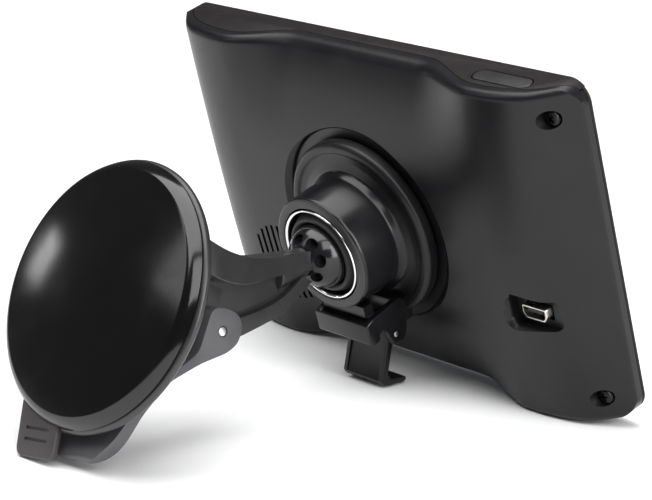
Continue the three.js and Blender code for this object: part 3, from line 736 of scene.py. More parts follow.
def board_finish():
    material, tree, shader = principled("circuit board")
    line = square_cells(tree, 420.0).remap(0.42, 0.5)
    connect(tree, shader, {
        "Base Color": blend_colour(tree, line, (0.012, 0.075, 0.03, 1), (0.03, 0.16, 0.06, 1)),
        "Roughness": line.remap(0, 1, 0.3, 0.45),
        "Normal": bump(tree, line, 0.00003),
    })
    return material


GLASS, PANEL, BOARD = glass_finish(), panel_finish(), board_finish()
print("finishes of their own:", ", ".join(made.name for made in (GLASS, PANEL, BOARD)))

# %% [markdown]
# ## Floor and lights
# The object stands on a plain white table. Glossy black shows only what it mirrors, so the
# lights are large soft boxes placed where the cup's face and the collar should pick them up,
# and the room around them stays dim.

# %% Floor and lights
FLOOR_HALF = 6.0
OBJECT_MIDDLE = Vector((0, 0, 0.04))
ROOM_COLOUR, ROOM_STRENGTH = (0.9, 0.93, 1.0, 1), 0.12


def floor():
    mesh = bpy.data.meshes.new("floor")
    corners = [(x, y, 0) for x, y in rectangle(2 * FLOOR_HALF, 2 * FLOOR_HALF, 0, steps=0)]
    mesh.from_pydata(corners, [], [(0, 1, 2, 3)])
    material, tree, shader = principled("table top")
    speckle = noise(tree, own_place(tree), 300.0, 3.0)
    tone = blend_colour(tree, speckle, (0.9, 0.9, 0.9, 1), (0.93, 0.93, 0.93, 1))
    connect(tree, shader, {"Base Color": tone, "Roughness": 0.9, "Specular IOR Level": 0.1})
    mesh.materials.append(material)
    new_object("floor", mesh)


def soft_box(name, towards, distance, width, height, watts):
    """A soft box in that direction from the object, facing it."""
    light = bpy.data.lights.new(name, "AREA")
    light.shape = "RECTANGLE"
    light.size = width
    light.size_y = height
    light.energy = watts
    body = new_object(name, light)
    direction = Vector(towards).normalized()
    body.location = direction * distance + OBJECT_MIDDLE
    body.rotation_mode = "QUATERNION"
    body.rotation_quaternion = direction.to_track_quat("Z", "Y")


floor()
soft_box("overhead", (0.1, 0.15, 1.0), 1.6, 1.8, 1.8, 46)
soft_box("left tall box", (0.48, 0.72, 0.62), 1.3, 0.26, 0.6, 1.0)
soft_box("far left box", (0.90, 0.40, 0.20), 1.2, 0.09, 0.12, 0.2)
soft_box("right box", (-1.0, -0.08, 0.35), 1.3, 0.6, 0.9, 13)
soft_box("behind camera", (-0.75, 0.35, 0.75), 1.6, 0.8, 0.8, 9)

world = bpy.data.worlds.new("studio")
world.use_nodes = True
connect(world.node_tree, world.node_tree.nodes["Background"],
        {"Color": ROOM_COLOUR, "Strength": ROOM_STRENGTH})
bpy.context.scene.world = world
bpy.context.scene.view_settings.view_transform = "Standard"
print("lights:", len(bpy.data.lights))

# %% [markdown]
# ## Camera
# A long lens from over half a metre away keeps the perspective gentle, so that the near end of
# the unit isn't swollen. It looks down a little on the back from one side, where the cup's
# face, the arm and the collar all show, and it is rolled by a degree or two.

# %% Camera
CAMERA_PLACE = Vector((-0.4226, 0.3741, 0.1875))
CAMERA_AIM = Vector((-0.0126, -0.0108, 0.0413))
CAMERA_ROLL = 1.77  # degrees, anticlockwise
LENS, SENSOR_WIDTH = 132.5, 36.0  # millimetres


def add_camera():
    camera = bpy.data.cameras.new("camera")
    camera.lens = LENS
    camera.sensor_width = SENSOR_WIDTH
    camera.clip_start = 0.01
    body = new_object("camera", camera)
    body.location = CAMERA_PLACE
    body.rotation_mode = "QUATERNION"
    level = (CAMERA_AIM - CAMERA_PLACE).to_track_quat("-Z", "Y")
    roll = Matrix.Rotation(math.radians(CAMERA_ROLL), 4, "Z").to_quaternion()
    body.rotation_quaternion = level @ roll
    bpy.context.scene.camera = body


add_camera()
print("camera to object, mm:", round((CAMERA_AIM - CAMERA_PLACE).length / MM))

# %% [markdown]
# ## The back of the case
# The rear cover is a thin shell whose depth follows a rule: thick ends that slope down to a
# nose at each side, a full middle for the mount, and a thinner waist along the top and bottom
# edges. Sculpting it would lose the rule, so a node tree starts from a block of points and lifts
# the back of it to the depth that the rule gives. The same tree, run smaller, makes the hollow.

# %% The depth rule as a recipe
HALF_W, HALF_H = 70.0, 45.0
WALL = 1.6
CORNER = 5.5
END_DEPTH, LOBE_DEPTH, CENTRE_DEPTH = 3.8, 14.8, 17.3
LEAST_DEPTH = END_DEPTH * 0.8
END_SLOPE, END_BLEND = 1.0, 2.0  # how the nose rises from an end, and how softly it joins
LOBE_START = 44.0  # where the thick ends begin to round off
WAIST_SCOOP, SCOOP_START = 7.2, 14.0  # how deep the waist goes, and how high it begins
REAR_EDGE = 2.2  # the radius round the back's outer edge
BELOW, PAST_CASE, PAST_COLLAR = -1.0, 30.0, 40.0  # where tools that go right through end
FINE = {"Columns": 150, "Rows": 104}  # points over the surface that is seen
COARSE = {"Columns": 70, "Rows": 50}  # and over one that isn't


def case_recipe():
    recipe = Recipe("Case back", Inset=0.0, **FINE)
    inset = recipe.value("Inset")
    grid = recipe.node("GeometryNodeMeshCube", {
        "Size": (2.0, 2.0, 2.0),
        "Vertices X": recipe.value("Columns"),
        "Vertices Y": recipe.value("Rows"),
        "Vertices Z": 2,
    })
    place = recipe.node("GeometryNodeInputPosition").outputs[0]
    split = recipe.node("ShaderNodeSeparateXYZ", {0: place})
    u, v, w = (Field(recipe.tree, split.outputs[i]) for i in range(3))
    x = (u * (math.pi / 2)).math("SINE") * HALF_W
    y = (v * (math.pi / 2)).math("SINE") * HALF_H
    ax, ay = x.math("ABSOLUTE").at_most(HALF_W), y.math("ABSOLUTE").at_most(HALF_H)
    round_off = ((ax - LOBE_START) / (HALF_W - LOBE_START)).at_least(0.0)
    fullness = (1.0 - (ay / HALF_H) ** 2.0) * (CENTRE_DEPTH - LOBE_DEPTH)
    crown = fullness + (LOBE_DEPTH - END_DEPTH)
    lobe = crown * (1.0 - round_off * round_off).at_least(0.0).math("SQRT") + END_DEPTH
    nose = (HALF_W - ax) * END_SLOPE + END_DEPTH
    apart = ((lobe - nose) * (lobe - nose) + END_BLEND**2).math("SQRT")
    ends = (lobe + nose - apart) * 0.5
    t = ((ax - LOBE_START / 2) / (LOBE_START / 2)).at_least(0.0).at_most(1.0)
    waist = 1.0 - t * t * (3.0 - t * 2.0)
    to_edge = ((ay - SCOOP_START) / (HALF_H - SCOOP_START)).at_least(0.0) ** 2.0
    into_edge = (ay - (HALF_H - REAR_EDGE)).at_least(0.0)
    rounding = REAR_EDGE - (REAR_EDGE**2 - into_edge * into_edge).at_least(0.0).math("SQRT")
    depth = (ends - waist * to_edge * WAIST_SCOOP - rounding).at_least(LEAST_DEPTH)
    is_back = w.math("GREATER_THAN", 0.0)
    target = recipe.vector(
        x * (1.0 - inset / HALF_W), y * (1.0 - inset / HALF_H), is_back * (depth - inset)
    )
    lifted = recipe.node(
        "GeometryNodeSetPosition", {"Geometry": grid.outputs["Mesh"], "Position": target}
    )
    return recipe.finish(lifted.outputs[0])


CASE = case_recipe()


def case_solid(inset, **density):
    """The case's outer shape, or that shape drawn in by an inset on every side."""
    body = CASE.make("case", Inset=inset, **density)
    outline = rectangle(2 * (HALF_W - inset), 2 * (HALF_H - inset), CORNER - inset, steps=14)
    return common(body, slab("outline", outline, BELOW, PAST_CASE))


def back_depth(x, y):
    """The same rule as a plain function, for placing things on the back."""
    ax, ay = min(abs(x), HALF_W), min(abs(y), HALF_H)
    round_off = max(0.0, (ax - LOBE_START) / (HALF_W - LOBE_START))
    crown = LOBE_DEPTH + (CENTRE_DEPTH - LOBE_DEPTH) * (1 - (ay / HALF_H) ** 2) - END_DEPTH
    lobe = END_DEPTH + crown * math.sqrt(1 - round_off**2)
    nose = END_DEPTH + END_SLOPE * (HALF_W - ax)
    ends = (lobe + nose - math.hypot(lobe - nose, END_BLEND)) / 2
    t = min(1.0, max(0.0, (ax - LOBE_START / 2) / (LOBE_START / 2)))
    to_edge = max(0.0, (ay - SCOOP_START) / (HALF_H - SCOOP_START)) ** 2
    into_edge = max(0.0, REAR_EDGE - (HALF_H - ay))
    rounding = REAR_EDGE - math.sqrt(REAR_EDGE**2 - into_edge**2)
    edges = WAIST_SCOOP * (1 - t * t * (3 - 2 * t)) * to_edge
    return max(LEAST_DEPTH, ends - edges - rounding)


print("depth at the middle and at an end, mm:", back_depth(0, 0), back_depth(HALF_W, 0))

# %% [markdown]
# ## Rows and rings
# The speaker's slits are a row of bars whose lengths follow a circle, so a line of points
# carries one bar each and the circle's own formula gives its length. A plain row serves for
# grip grooves and contacts, and a ring of round-ended cutters for the pockets in the ball.

# %% Rows and rings
SPEAKER = (-36.5, -20.0)
SPEAKER_RADIUS = 11.5
SLIT_PITCH = 2.3
SLIT_TOOL = 12.0  # how tall the cutting bars are


def row_offset(recipe):
    """How far each copy of a centred row is from the row's middle."""
    return (recipe.index() - (recipe.value("Count") - 1.0) / 2.0) * recipe.value("Pitch")


def row_of_bars(recipe, offset, size):
    bar = recipe.node("GeometryNodeMeshCube", {"Size": (1.0, 1.0, 1.0)}).outputs["Mesh"]
    points = recipe.points(recipe.value("Count"), offset, 0.0)
    return recipe.finish(recipe.copies(points, bar, Scale=size))


def slit_recipe():
    recipe = Recipe("Speaker slits", Count=9, Pitch=SLIT_PITCH, Radius=SPEAKER_RADIUS, Slit=1.0)
    offset = row_offset(recipe)
    half = (recipe.value("Radius") ** 2.0 - offset * offset).math("SQRT")
    return row_of_bars(recipe, offset, recipe.vector(recipe.value("Slit"), half * 2.0, SLIT_TOOL))


def row_recipe():
    """A row of equal bars along X, for grooves and contacts."""
    recipe = Recipe("Row of bars", Count=3, Pitch=2.0, Across=1.0, Along=8.0, Tall=1.0)
    size = recipe.vector(recipe.value("Across"), recipe.value("Along"), recipe.value("Tall"))
    return row_of_bars(recipe, row_offset(recipe), size)


def ring_recipe():
    """Round-ended cutters on a circle, each one turned to point outwards."""
    recipe = Recipe("Ring of pockets", Count=6, Radius=5.0, Width=1.6, Length=2.4, Tall=3.0)
    ring = {"Vertices": recipe.value("Count"), "Radius": recipe.value("Radius")}
    points = recipe.node("GeometryNodeMeshCircle", ring).outputs[0]
    ball = recipe.node("GeometryNodeMeshUVSphere", {"Segments": 20, "Rings": 12, "Radius": 1.0})
    turn = recipe.vector(0.0, 0.0, recipe.index() / recipe.value("Count") * (2 * math.pi))
    size = recipe.vector(recipe.value("Length"), recipe.value("Width"), recipe.value("Tall"))
    return recipe.finish(
        recipe.copies(points, ball.outputs["Mesh"], Rotation=turn, Scale=size)
    )


SLITS, POCKETS, ROW = slit_recipe(), ring_recipe(), row_recipe()
print("recipes:", ", ".join(recipe.tree.name for recipe in (SLITS, POCKETS, ROW)))

# %% [markdown]
# ## The rear cover
# The cover is the case's solid less a smaller one, cut along the seam. Wells and recesses are
# cut by tools whose mouths flare a little, which leaves the soft lip of a real moulding and is
# far safer than rounding the edges of a dense surface afterwards.

# %% Wells and recesses
SEAM = 0.2
BEZEL_DEPTH = 1.1
SEAM_FROM_BACK = 3.4
CAP_WALL, CAP_END = 1.8, 1.2  # the wall's thickness, and how far short of each end it stops
GAP = 0.3
RECESS_RADIUS, RECESS_FLOOR = 29.0, 15.1
USB = (52.8, -13.6)
USB_FLOOR = 12.6
USB_WELL = (14.5, 8.4)
CATCH_UP = 19.0  # the catch's height above the middle of the disc
SCREW_X, SCREW_Y, SCREW_SEAT = 64.2, 38.0, 6.9
SCREWS = [(SCREW_X, SCREW_Y), (SCREW_X, -SCREW_Y)]
POSTS = [(x - 0.4, y * 0.99) for x, y in SCREWS]


def seam_height(x):
    """The seam's height above the front plane, along the top and bottom edges."""
    return max(BEZEL_DEPTH / 2, back_depth(x, HALF_H) + REAR_EDGE - SEAM_FROM_BACK)


def cap_slab(low, high, grow):
    """The front moulding's top or bottom wall, whose rear edge is the seam."""
    half = HALF_W - CAP_END + grow
    seam = [(x, seam_height(x) + grow) for x in np.linspace(half, -half, 121)]
    return slab("cap", [(-half, BELOW), (half, BELOW), *seam], low, high, "y")


def flared_well(width, height, radius, bottom, x, y):
    """A rounded well whose mouth opens out where it meets the back."""
    top = back_depth(x, y)
    tool = slab("well", rectangle(width, height, radius, x, y), bottom, PAST_COLLAR)
    flare = [(0.0, -0.9), (0.12, -0.55), (0.3, -0.15), (1.2, 0.9)]
    mouth = [
        (rectangle(width + 2 * grow, height + 2 * grow, radius + grow, x, y), top + rise)
        for grow, rise in flare
    ]
    return fuse(tool, loft("mouth", mouth))


def recess_tool():
    """The round recess, whose lip flares where it leaves the back."""
    profile = [
        (RECESS_RADIUS - 2.4, RECESS_FLOOR),
        (RECESS_RADIUS - 1.9, RECESS_FLOOR + 1.0),
        (RECESS_RADIUS - 0.2, CENTRE_DEPTH - 0.1),
        (RECESS_RADIUS + 0.9, CENTRE_DEPTH + 0.6),
        (RECESS_RADIUS + 2.0, PAST_CASE),
    ]
    lip = rounded([(0, RECESS_FLOOR), *profile, (0, PAST_CASE)], 0.45)
    return turned("recess", lip, 160)


def screw_tool(x, y):
    """A straight counterbore down to the seat, and the shank's hole under it."""
    mouth, radius = back_depth(x, y) + 2.5, 2.35
    profile = [(0, SCREW_SEAT), (radius, SCREW_SEAT), (radius, mouth), (0, mouth)]
    seat = moved(turned("seat", rounded(profile, 0.3, 3), 40), at(x, y, 0))
    return fuse(seat, slab("shank hole", circle(1.35, x, y, 24), 0, SCREW_SEAT + 1))


print("screw seats are this far below the back, mm:", round(back_depth(*SCREWS[0]) - SCREW_SEAT, 2))

# %% [markdown]
# ## Cutting the cover
# Posts, the socket's box and the recess's floor are added inside the shell first, and are held
# within the wall. Everything that opens to the outside is cut afterwards, in one order.

# %% Rear cover
def rear_cover():
    """The shell, what is added inside it, and then every opening."""
    body = carve(case_solid(0), case_solid(WALL, **COARSE))
    inside = case_solid(0.3, **COARSE)
    width, height = USB_WELL
    box = slab("usb box", rectangle(width + 3, height + 3, 2.2, *USB), USB_FLOOR - 1.4, 15.5)
    floor_disc = slab("recess floor", circle(RECESS_RADIUS - 0.5, steps=96), 13.5, 15.7)
    posts = [slab("post", circle(3.6, *place, 40), 3.6, 10.5) for place in POSTS]
    fuse(body, common(fuse(box, floor_disc, *posts), inside))
    carve(body, block((160, 110, 4), (0, 0, BEZEL_DEPTH + SEAM / 2 - 2)))
    carve(body, cap_slab(HALF_H - CAP_WALL - GAP, HALF_H + 1, SEAM / 2))
    carve(body, cap_slab(-HALF_H - 1, -HALF_H + CAP_WALL + GAP, SEAM / 2))
    carve(body, recess_tool())
    carve(body, flared_well(*USB_WELL, 2.0, USB_FLOOR, *USB))
    carve(body, block((8.4, 4.3, 8), (*USB, USB_FLOOR)))
    carve(body, *[screw_tool(x, y) for x, y in SCREWS])
    carve(body, moved(SLITS.make("slits"), at(*SPEAKER, 16)))
    carve(body, slab("clip window", rectangle(15, 4.4, 1, 0, CATCH_UP), 10, 20))
    return finish(
        body, "rear_cover_shell", UNIT, "navigator", CASE_BLACK, "rear_case_plastic",
        "rear_cover", crease=28,
    )


rear_cover()

# %% [markdown]
# ## The front moulding, its key and the glass
# The front frame holds the glass and turns back along the top and bottom as a cap, whose rear
# edge is the seam. Its long edges are rounded before the cuts are made. The key is a stadium
# that stands just proud of the cap, with a soft crown.

# %% Front moulding, key and glass
GLASS_SIZE = (127.0, 77.0)
LCD_SIZE = (115.0, 66.0)
PANEL_GAP = 0.6  # all the play across the glass, and across the display
KEY_X, KEY_Z, KEY_WIDTH, KEY_HEIGHT = 49.3, 6.9, 17.6, 4.8


def key_outline(grow):
    width, height = KEY_WIDTH + 2 * grow, KEY_HEIGHT + 2 * grow
    return rectangle(width, height, height / 2 - 0.02, KEY_X, KEY_Z, 12)


def window(name, size, radius, low, high):
    """A cutting tool with a panel's size and the play round it."""
    width, height = size
    return slab(name, rectangle(width + PANEL_GAP, height + PANEL_GAP, radius), low, high)


def front_moulding():
    """A bezel and an inner plate, with a wall along the top and the bottom."""
    edge = rectangle(2 * HALF_W, 2 * HALF_H, CORNER, steps=14)
    bezel = soften(slab("bezel", edge, 0, BEZEL_DEPTH - SEAM / 2), 0.4)
    inset = WALL + GAP
    plate = slab("frame", rectangle(2 * (HALF_W - inset), 2 * (HALF_H - inset), 4), 0.95, 3.3)
    common(plate, case_solid(inset, **COARSE))
    walls = []
    for low, high in ((HALF_H - CAP_WALL, HALF_H), (-HALF_H, -HALF_H + CAP_WALL)):
        wall = common(cap_slab(low, high, -SEAM / 2), case_solid(0.0))
        walls.append(soften(wall, 0.18, 2, 60))
    body = fuse(bezel, plate, *walls)
    carve(
        body,
        window("window", GLASS_SIZE, 3, -1, 1),
        window("opening", LCD_SIZE, 1, 0, 4),
        slab("key hole", key_outline(GAP), HALF_H - 4, HALF_H + 1, "y"),
        *[slab("post room", circle(4.1, *place, 40), 0.9, 5) for place in POSTS],
    )
    return finish(
        body, "front_moulding", UNIT, "navigator", FRONT_BROWN, "front_frame_plastic",
        "front_housing",
    )


def power_key():
    """The key's cap, the flange that keeps it in and the stem that reaches the switch."""
    cap = soften(slab("key", key_outline(0), HALF_H - 1.6, HALF_H + 0.14, "y"), 0.3, 4)
    flange = block((KEY_WIDTH - 4, 0.9, 3), (KEY_X, HALF_H - 2.0, KEY_Z))
    stem = block((3, 2.2, 2), (KEY_X, HALF_H - 3.4, KEY_Z))
    return finish(
        fuse(cap, flange, stem), "power_key", UNIT, "power_button", KEY_BLACK,
        "button_plastic", "power_button",
    )


def screen_glass():
    body = soften(slab("glass", rectangle(*GLASS_SIZE, 2.8, steps=12), 0.05, 0.65), 0.2)
    return finish(body, "screen_glass", UNIT, "navigator", GLASS, "touch_glass", "touch_glass")


front_moulding()
power_key()
screen_glass()

# %% [markdown]
# ## Screws
# A cross-recess screw is a low dome with a cross cut in it. One head is made, and a recipe sets
# it on both points, each turned a little differently, as real screws are when they stop.

# %% Screws
def screw_recipe(head):
    """The finished head, set on each point of a line between the two posts."""
    recipe = Recipe("Case screws", Spacing=2 * SCREW_Y)
    index = recipe.index()
    points = recipe.points(2, 0.0, (index - 0.5) * recipe.value("Spacing"))
    source = recipe.node("GeometryNodeObjectInfo", {"Object": head}).outputs["Geometry"]
    turn = recipe.vector(0.0, 0.0, index * 0.6 + 0.25)
    return recipe.finish(recipe.copies(points, source, Rotation=turn))


def case_screws():
    seat, slot_length, slot_width = SCREW_SEAT + GAP, 2.3, 0.55
    profile = [
        (0, 4.6), (1, 4.6), (1, seat), (2, seat), (2, seat + 0.8), (1.6, seat + 1.25),
        (0, seat + 1.35),
    ]
    head = turned("screw head", rounded(profile, 0.25), 40)
    carve(head, block((slot_length, slot_width, 1.4), (0, 0, seat + 1.3)))
    carve(head, block((slot_width, slot_length, 1.4), (0, 0, seat + 1.3)))
    body = moved(screw_recipe(head).make("screws", SCREW_BLACK), at(SCREW_X, 0, 0))
    bpy.data.objects.remove(head)
    return finish(
        body, "case_screws", UNIT, "navigator", SCREW_BLACK, "screw_steel",
        "case_screw_top", "case_screw_bottom",
    )


case_screws()

# %% [markdown]
# ## The data socket
# The socket is a folded metal shell with a tongue that carries five contacts, which the row
# recipe lays side by side. The shell's outline and its mouth are the same curve at two sizes,
# with the two lower corners cut off so that a plug fits one way only.

# %% Data socket
def socket_outline(half_width, half_foot, half_height, knee, radius):
    x, y = USB
    left = [(-half_width, half_height), (-half_width, -knee), (-half_foot, -half_height)]
    points = left + [(-u, v) for u, v in reversed(left)]
    return rounded([(x + u, y + v) for u, v in points], radius, 4, True)


def data_socket():
    x, y = USB
    outline = socket_outline(3.85, 2.9, 1.8, 0.6, 0.5)
    mouth = socket_outline(3.45, 2.7, 1.4, 0.5, 0.4)
    shell = soften(slab("shell", outline, USB_FLOOR - 3.1, USB_FLOOR + 2.3), 0.12, 2)
    carve(shell, slab("mouth", mouth, USB_FLOOR - 1.7, USB_FLOOR + 3))
    finish(shell, "data_socket_shell", UNIT, "navigator", NICKEL, "usb_metal", "usb_socket")
    tongue = soften(block((5, 0.9, 3.6), (x, y + 0.5, USB_FLOOR + 0.05)), 0.12, 2)
    finish(tongue, "data_socket_tongue", UNIT, "navigator", LINER_BLACK, "usb_metal")
    contacts = ROW.make(
        "contacts", PIN_STEEL, Count=5, Pitch=0.8, Across=0.35, Along=0.12, Tall=2.6
    )
    moved(contacts, at(x, y + 0.02, USB_FLOOR + 0.3))
    finish(contacts, "data_socket_contacts", UNIT, "navigator", PIN_STEEL, "usb_metal")


data_socket()

# %% [markdown]
# ## The clip-on cradle
# The cradle is one moulding: a thin disc that sits in the recess, a deep collar that holds the
# ball, and a lower bracket for the release lever. The disc and collar are one turned profile
# with every corner rounded; the bracket is pushed outlines, softened before they are joined.

# %% Cradle
DISC_RADIUS, DISC_TOP = 24.0, 19.6
COLLAR_RADIUS, COLLAR_FRONT = 15.5, 33.2
SOCKET_RADIUS, SOCKET_FLOOR = 12.7, 18.6
BRACKET_X, BRACKET_HALF, CHEEK = 2.0, 9.6, 2.2
BAR_Z, BAR_BACK, BAR_FRONT = 33.4, -24.2, -18.0
LEVER_PIN = (-25.2, 24.4)
PIN_RADIUS, PIN_BORE = 0.75, 1.05


def cross_bore(radius, y, z, steps=32, reach=20):
    """A tool for a hole along X."""
    return slab("cross bore", circle(radius, y, z, steps), -reach, reach, "x")


def clip_disc():
    """The disc with its raised rim, a curve up into the collar, and the socket's bore."""
    floor_z = RECESS_FLOOR + GAP
    profile = [
        (0, floor_z), (DISC_RADIUS - 0.6, floor_z), (DISC_RADIUS, floor_z + 0.6),
        (DISC_RADIUS, DISC_TOP - 0.9), (DISC_RADIUS - 0.9, DISC_TOP),
        (DISC_RADIUS - 2.4, DISC_TOP), (DISC_RADIUS - 2.9, DISC_TOP - 0.5),
        (COLLAR_RADIUS + 3.6, DISC_TOP - 0.5), (COLLAR_RADIUS + 1.1, DISC_TOP + 0.3),
        (COLLAR_RADIUS + 0.25, DISC_TOP + 2.0), (COLLAR_RADIUS, COLLAR_FRONT - 0.9),
        (COLLAR_RADIUS - 0.6, COLLAR_FRONT), (SOCKET_RADIUS + 0.25, COLLAR_FRONT),
        (SOCKET_RADIUS, COLLAR_FRONT - 0.25), (SOCKET_RADIUS, SOCKET_FLOOR), (0, SOCKET_FLOOR),
    ]
    return turned("disc", rounded(profile, 0.5), 160)


def latch_bracket():
    """Two cheeks that carry the release lever's pin, with a bar across their tops."""
    cheek = rounded(
        [(-16.2, 20.2), (-16.9, 27), (-17.4, 31.4), (BAR_FRONT - 0.2, BAR_Z),
         (BAR_BACK + 0.6, BAR_Z), (BAR_BACK, BAR_Z - 1), (BAR_BACK, BAR_Z - 3.4), (-21.8, 29.4),
         (-22.8, 27.6), (-27.6, 26.2), (-28, 22.6), (-25.6, 20.8), (-23.2, 20.0)], 0.9, 4, True,
    )
    bar = rounded(
        [(BAR_FRONT, BAR_Z), (BAR_BACK + 0.6, BAR_Z), (BAR_BACK, BAR_Z - 1),
         (BAR_BACK, BAR_Z - 2.2), (BAR_FRONT, BAR_Z - 2.2)], 0.6, 4, True,
    )
    body = soften(
        slab("bar", bar, BRACKET_X - BRACKET_HALF, BRACKET_X + BRACKET_HALF, "x"), 0.35
    )
    for side in (-1, 1):
        inner = BRACKET_X + side * (BRACKET_HALF - CHEEK)
        outer = BRACKET_X + side * BRACKET_HALF
        cheek_plate = slab("cheek", cheek, min(inner, outer), max(inner, outer), "x")
        fuse(body, soften(cheek_plate, 0.35))
    carve(body, cross_bore(PIN_BORE, *LEVER_PIN, 24, 30))
    room = slab("collar room", circle(COLLAR_RADIUS + 0.05, steps=96), 10, PAST_COLLAR)
    return carve(body, room)


def cradle():
    """One moulding in three finishes: a gloss body, a grey collar face and a satin disc."""
    body = clip_disc()
    foot = soften(block((2 * BRACKET_HALF, 6, 3.6), (BRACKET_X, -20.2, 19.6)), 0.4)
    bridge = block((2 * BRACKET_HALF - 4, 3, 3), (BRACKET_X, -15.6, 30))
    tab = slab("catch", rectangle(12, 2.6, 0.8, 0, CATCH_UP), 13.4, 16)
    fuse(body, latch_bracket(), foot, bridge, tab)
    bore = circle(SOCKET_RADIUS + 0.01, steps=160)
    carve(body, slab("bore", bore, SOCKET_FLOOR, PAST_COLLAR))
    finish(
        body, "cradle_moulding", UNIT, "cradle", CRADLE_BLACK, "cradle_plastic",
        "cradle_disc_and_collar",
    )
    for face_finish in (RING_GREY, DISC_BLACK):
        body.data.materials.append(face_finish)
    into_unit = UNIT.inverted()
    for face in body.data.polygons:
        middle = into_unit @ face.center
        reach = math.hypot(middle.x, middle.y)
        if middle.z > COLLAR_FRONT - 0.35 and SOCKET_RADIUS < reach < COLLAR_RADIUS - 0.4:
            face.material_index = 1
        elif middle.z < DISC_TOP + 0.4 and reach > COLLAR_RADIUS + 2:
            face.material_index = 2


cradle()

# %% [markdown]
# ## The release lever
# The lever is one bent plate between the bracket's cheeks, with a channel down its back and a
# hooked finger tip. Its side view is drawn once and pushed across, because the plate has the
# same section all the way. The pin that it turns on is a plain ground bar.

# %% Release lever and pins
def release_lever():
    plate_side = rounded(
        [(-23.6, 26.0), (-26.9, 25.9), (-36.6, 31.0), (-38.2, 30.2), (-38.9, 28.6),
         (-40.6, 23.6), (-40.2, 22.6), (-39.2, 22.8), (-37.2, 28.0), (-35.8, 28.2),
         (-27.6, 23.8), (-26.2, 22.6), (-23.8, 22.9)], 0.8, 4, True,
    )
    half = BRACKET_HALF - CHEEK - GAP
    body = soften(slab("lever", plate_side, BRACKET_X - half, BRACKET_X + half, "x"), 0.35)
    channel = rounded([(-27.9, 27.6), (-36.2, 31.9), (-36.9, 31.2), (-28.3, 26.3)], 0.5, 3, True)
    tool = slab("channel", channel, BRACKET_X - half + 1.3, BRACKET_X + half - 1.3, "x")
    carve(body, moved(tool, at(0, 0.25, -0.45)))
    carve(body, cross_bore(PIN_BORE, *LEVER_PIN, 24, 30))
    return finish(
        body, "release_lever_plate", UNIT, "release_lever", LEVER_BLACK,
        "release_lever_plastic", "release_lever",
    )


def cross_pin(name, radius, half_length, middle, where, rides_on, node):
    """A ground pin along X with chamfered ends."""
    x, y, z = middle
    pin = slab("pin", circle(radius, y, z, 40), x - half_length, x + half_length, "x")
    soften(pin, 0.15, 2)
    return finish(pin, name, where, rides_on, PIN_STEEL, "pin_steel", node, crease=40)


release_lever()
cross_pin(
    "release_pin", PIN_RADIUS, BRACKET_HALF - 0.2, (BRACKET_X, *LEVER_PIN), UNIT, "cradle",
    "release_lever_pin",
)

# %% [markdown]
# ## The socket
# A thin bright ring trims the collar's mouth. Inside it a rubber liner grips the ball just past
# its equator, with a seat and a spring cup behind. All of these are turned profiles, so they
# share one helper for points on a circle round the ball's centre.

# %% Socket parts
BALL_RADIUS = 8.5
SEAT_WALL = 0.6


def ball_arc(radius, start, stop, steps):
    """Points round the ball's centre, between two angles above its equator, in degrees."""
    return [
        (radius * math.cos(math.radians(a)), BALL_DEPTH + radius * math.sin(math.radians(a)))
        for a in np.linspace(start, stop, steps + 1)
    ]


def socket_ring():
    low, top = COLLAR_FRONT - 1.6, COLLAR_FRONT + 0.2
    inner, outer = SOCKET_RADIUS - 1.1, SOCKET_RADIUS - GAP
    loop = [(inner, low), (outer, low), (outer, top - 0.35), (outer - 0.3, top), (inner, top - 0.4)]
    body = turned("ring", rounded(loop, 0.25, 4, True), 160)
    return finish(
        body, "socket_trim_ring", UNIT, "cradle", CHROME, "chrome_ring", "socket_ring"
    )


def socket_liner():
    outer, mouth = SOCKET_RADIUS - 1.5, COLLAR_FRONT + 0.28
    room = ball_arc(BALL_RADIUS + 3 * GAP + 2 * SEAT_WALL, -12, -86, 20)
    profile = [
        (0, 19.2), (outer, 19.2), (outer, 31.0), (outer - 1.3, mouth), (9.3, mouth),
        *ball_arc(BALL_RADIUS + GAP, 4, -8, 5), *room, (0, room[-1][1] - 0.02),
    ]
    body = turned("liner", profile, 128)
    return finish(
        body, "socket_grip_liner", UNIT, "cradle", LINER_BLACK, "liner_rubber", "socket_liner"
    )


def seat_cup(name, inner, rides_on, material, slot, node):
    """A thin cup round the back of the ball."""
    outer = inner + SEAT_WALL
    profile = [
        (0, BALL_DEPTH - outer), *ball_arc(outer, -84, -38, 16),
        *ball_arc(inner, -38, -84, 16), (0, BALL_DEPTH - inner),
    ]
    return finish(turned(name, profile), name, UNIT, rides_on, material, slot, node)


socket_ring()
socket_liner()
seat_cup("ball_seat_cup", BALL_RADIUS + GAP, "ball_tilt_seat", SEAT_WHITE, "seat_plastic",
         "ball_seat")
seat_cup("seat_spring", BALL_RADIUS + 2 * GAP + SEAT_WALL, "ball_swing_seat", SPRING_STEEL,
         "spring_cup_steel", "seat_spring_cup")

# %% [markdown]
# ## The arm, its dish and its ball
# The arm is a deep curved beam over a thin web and a lower rail, as a strong plastic moulding
# is ribbed. Its curves are drawn from the side and then narrowed in plan. The ball is cored
# with a ring of pockets round its neck so that it cools without sinking.

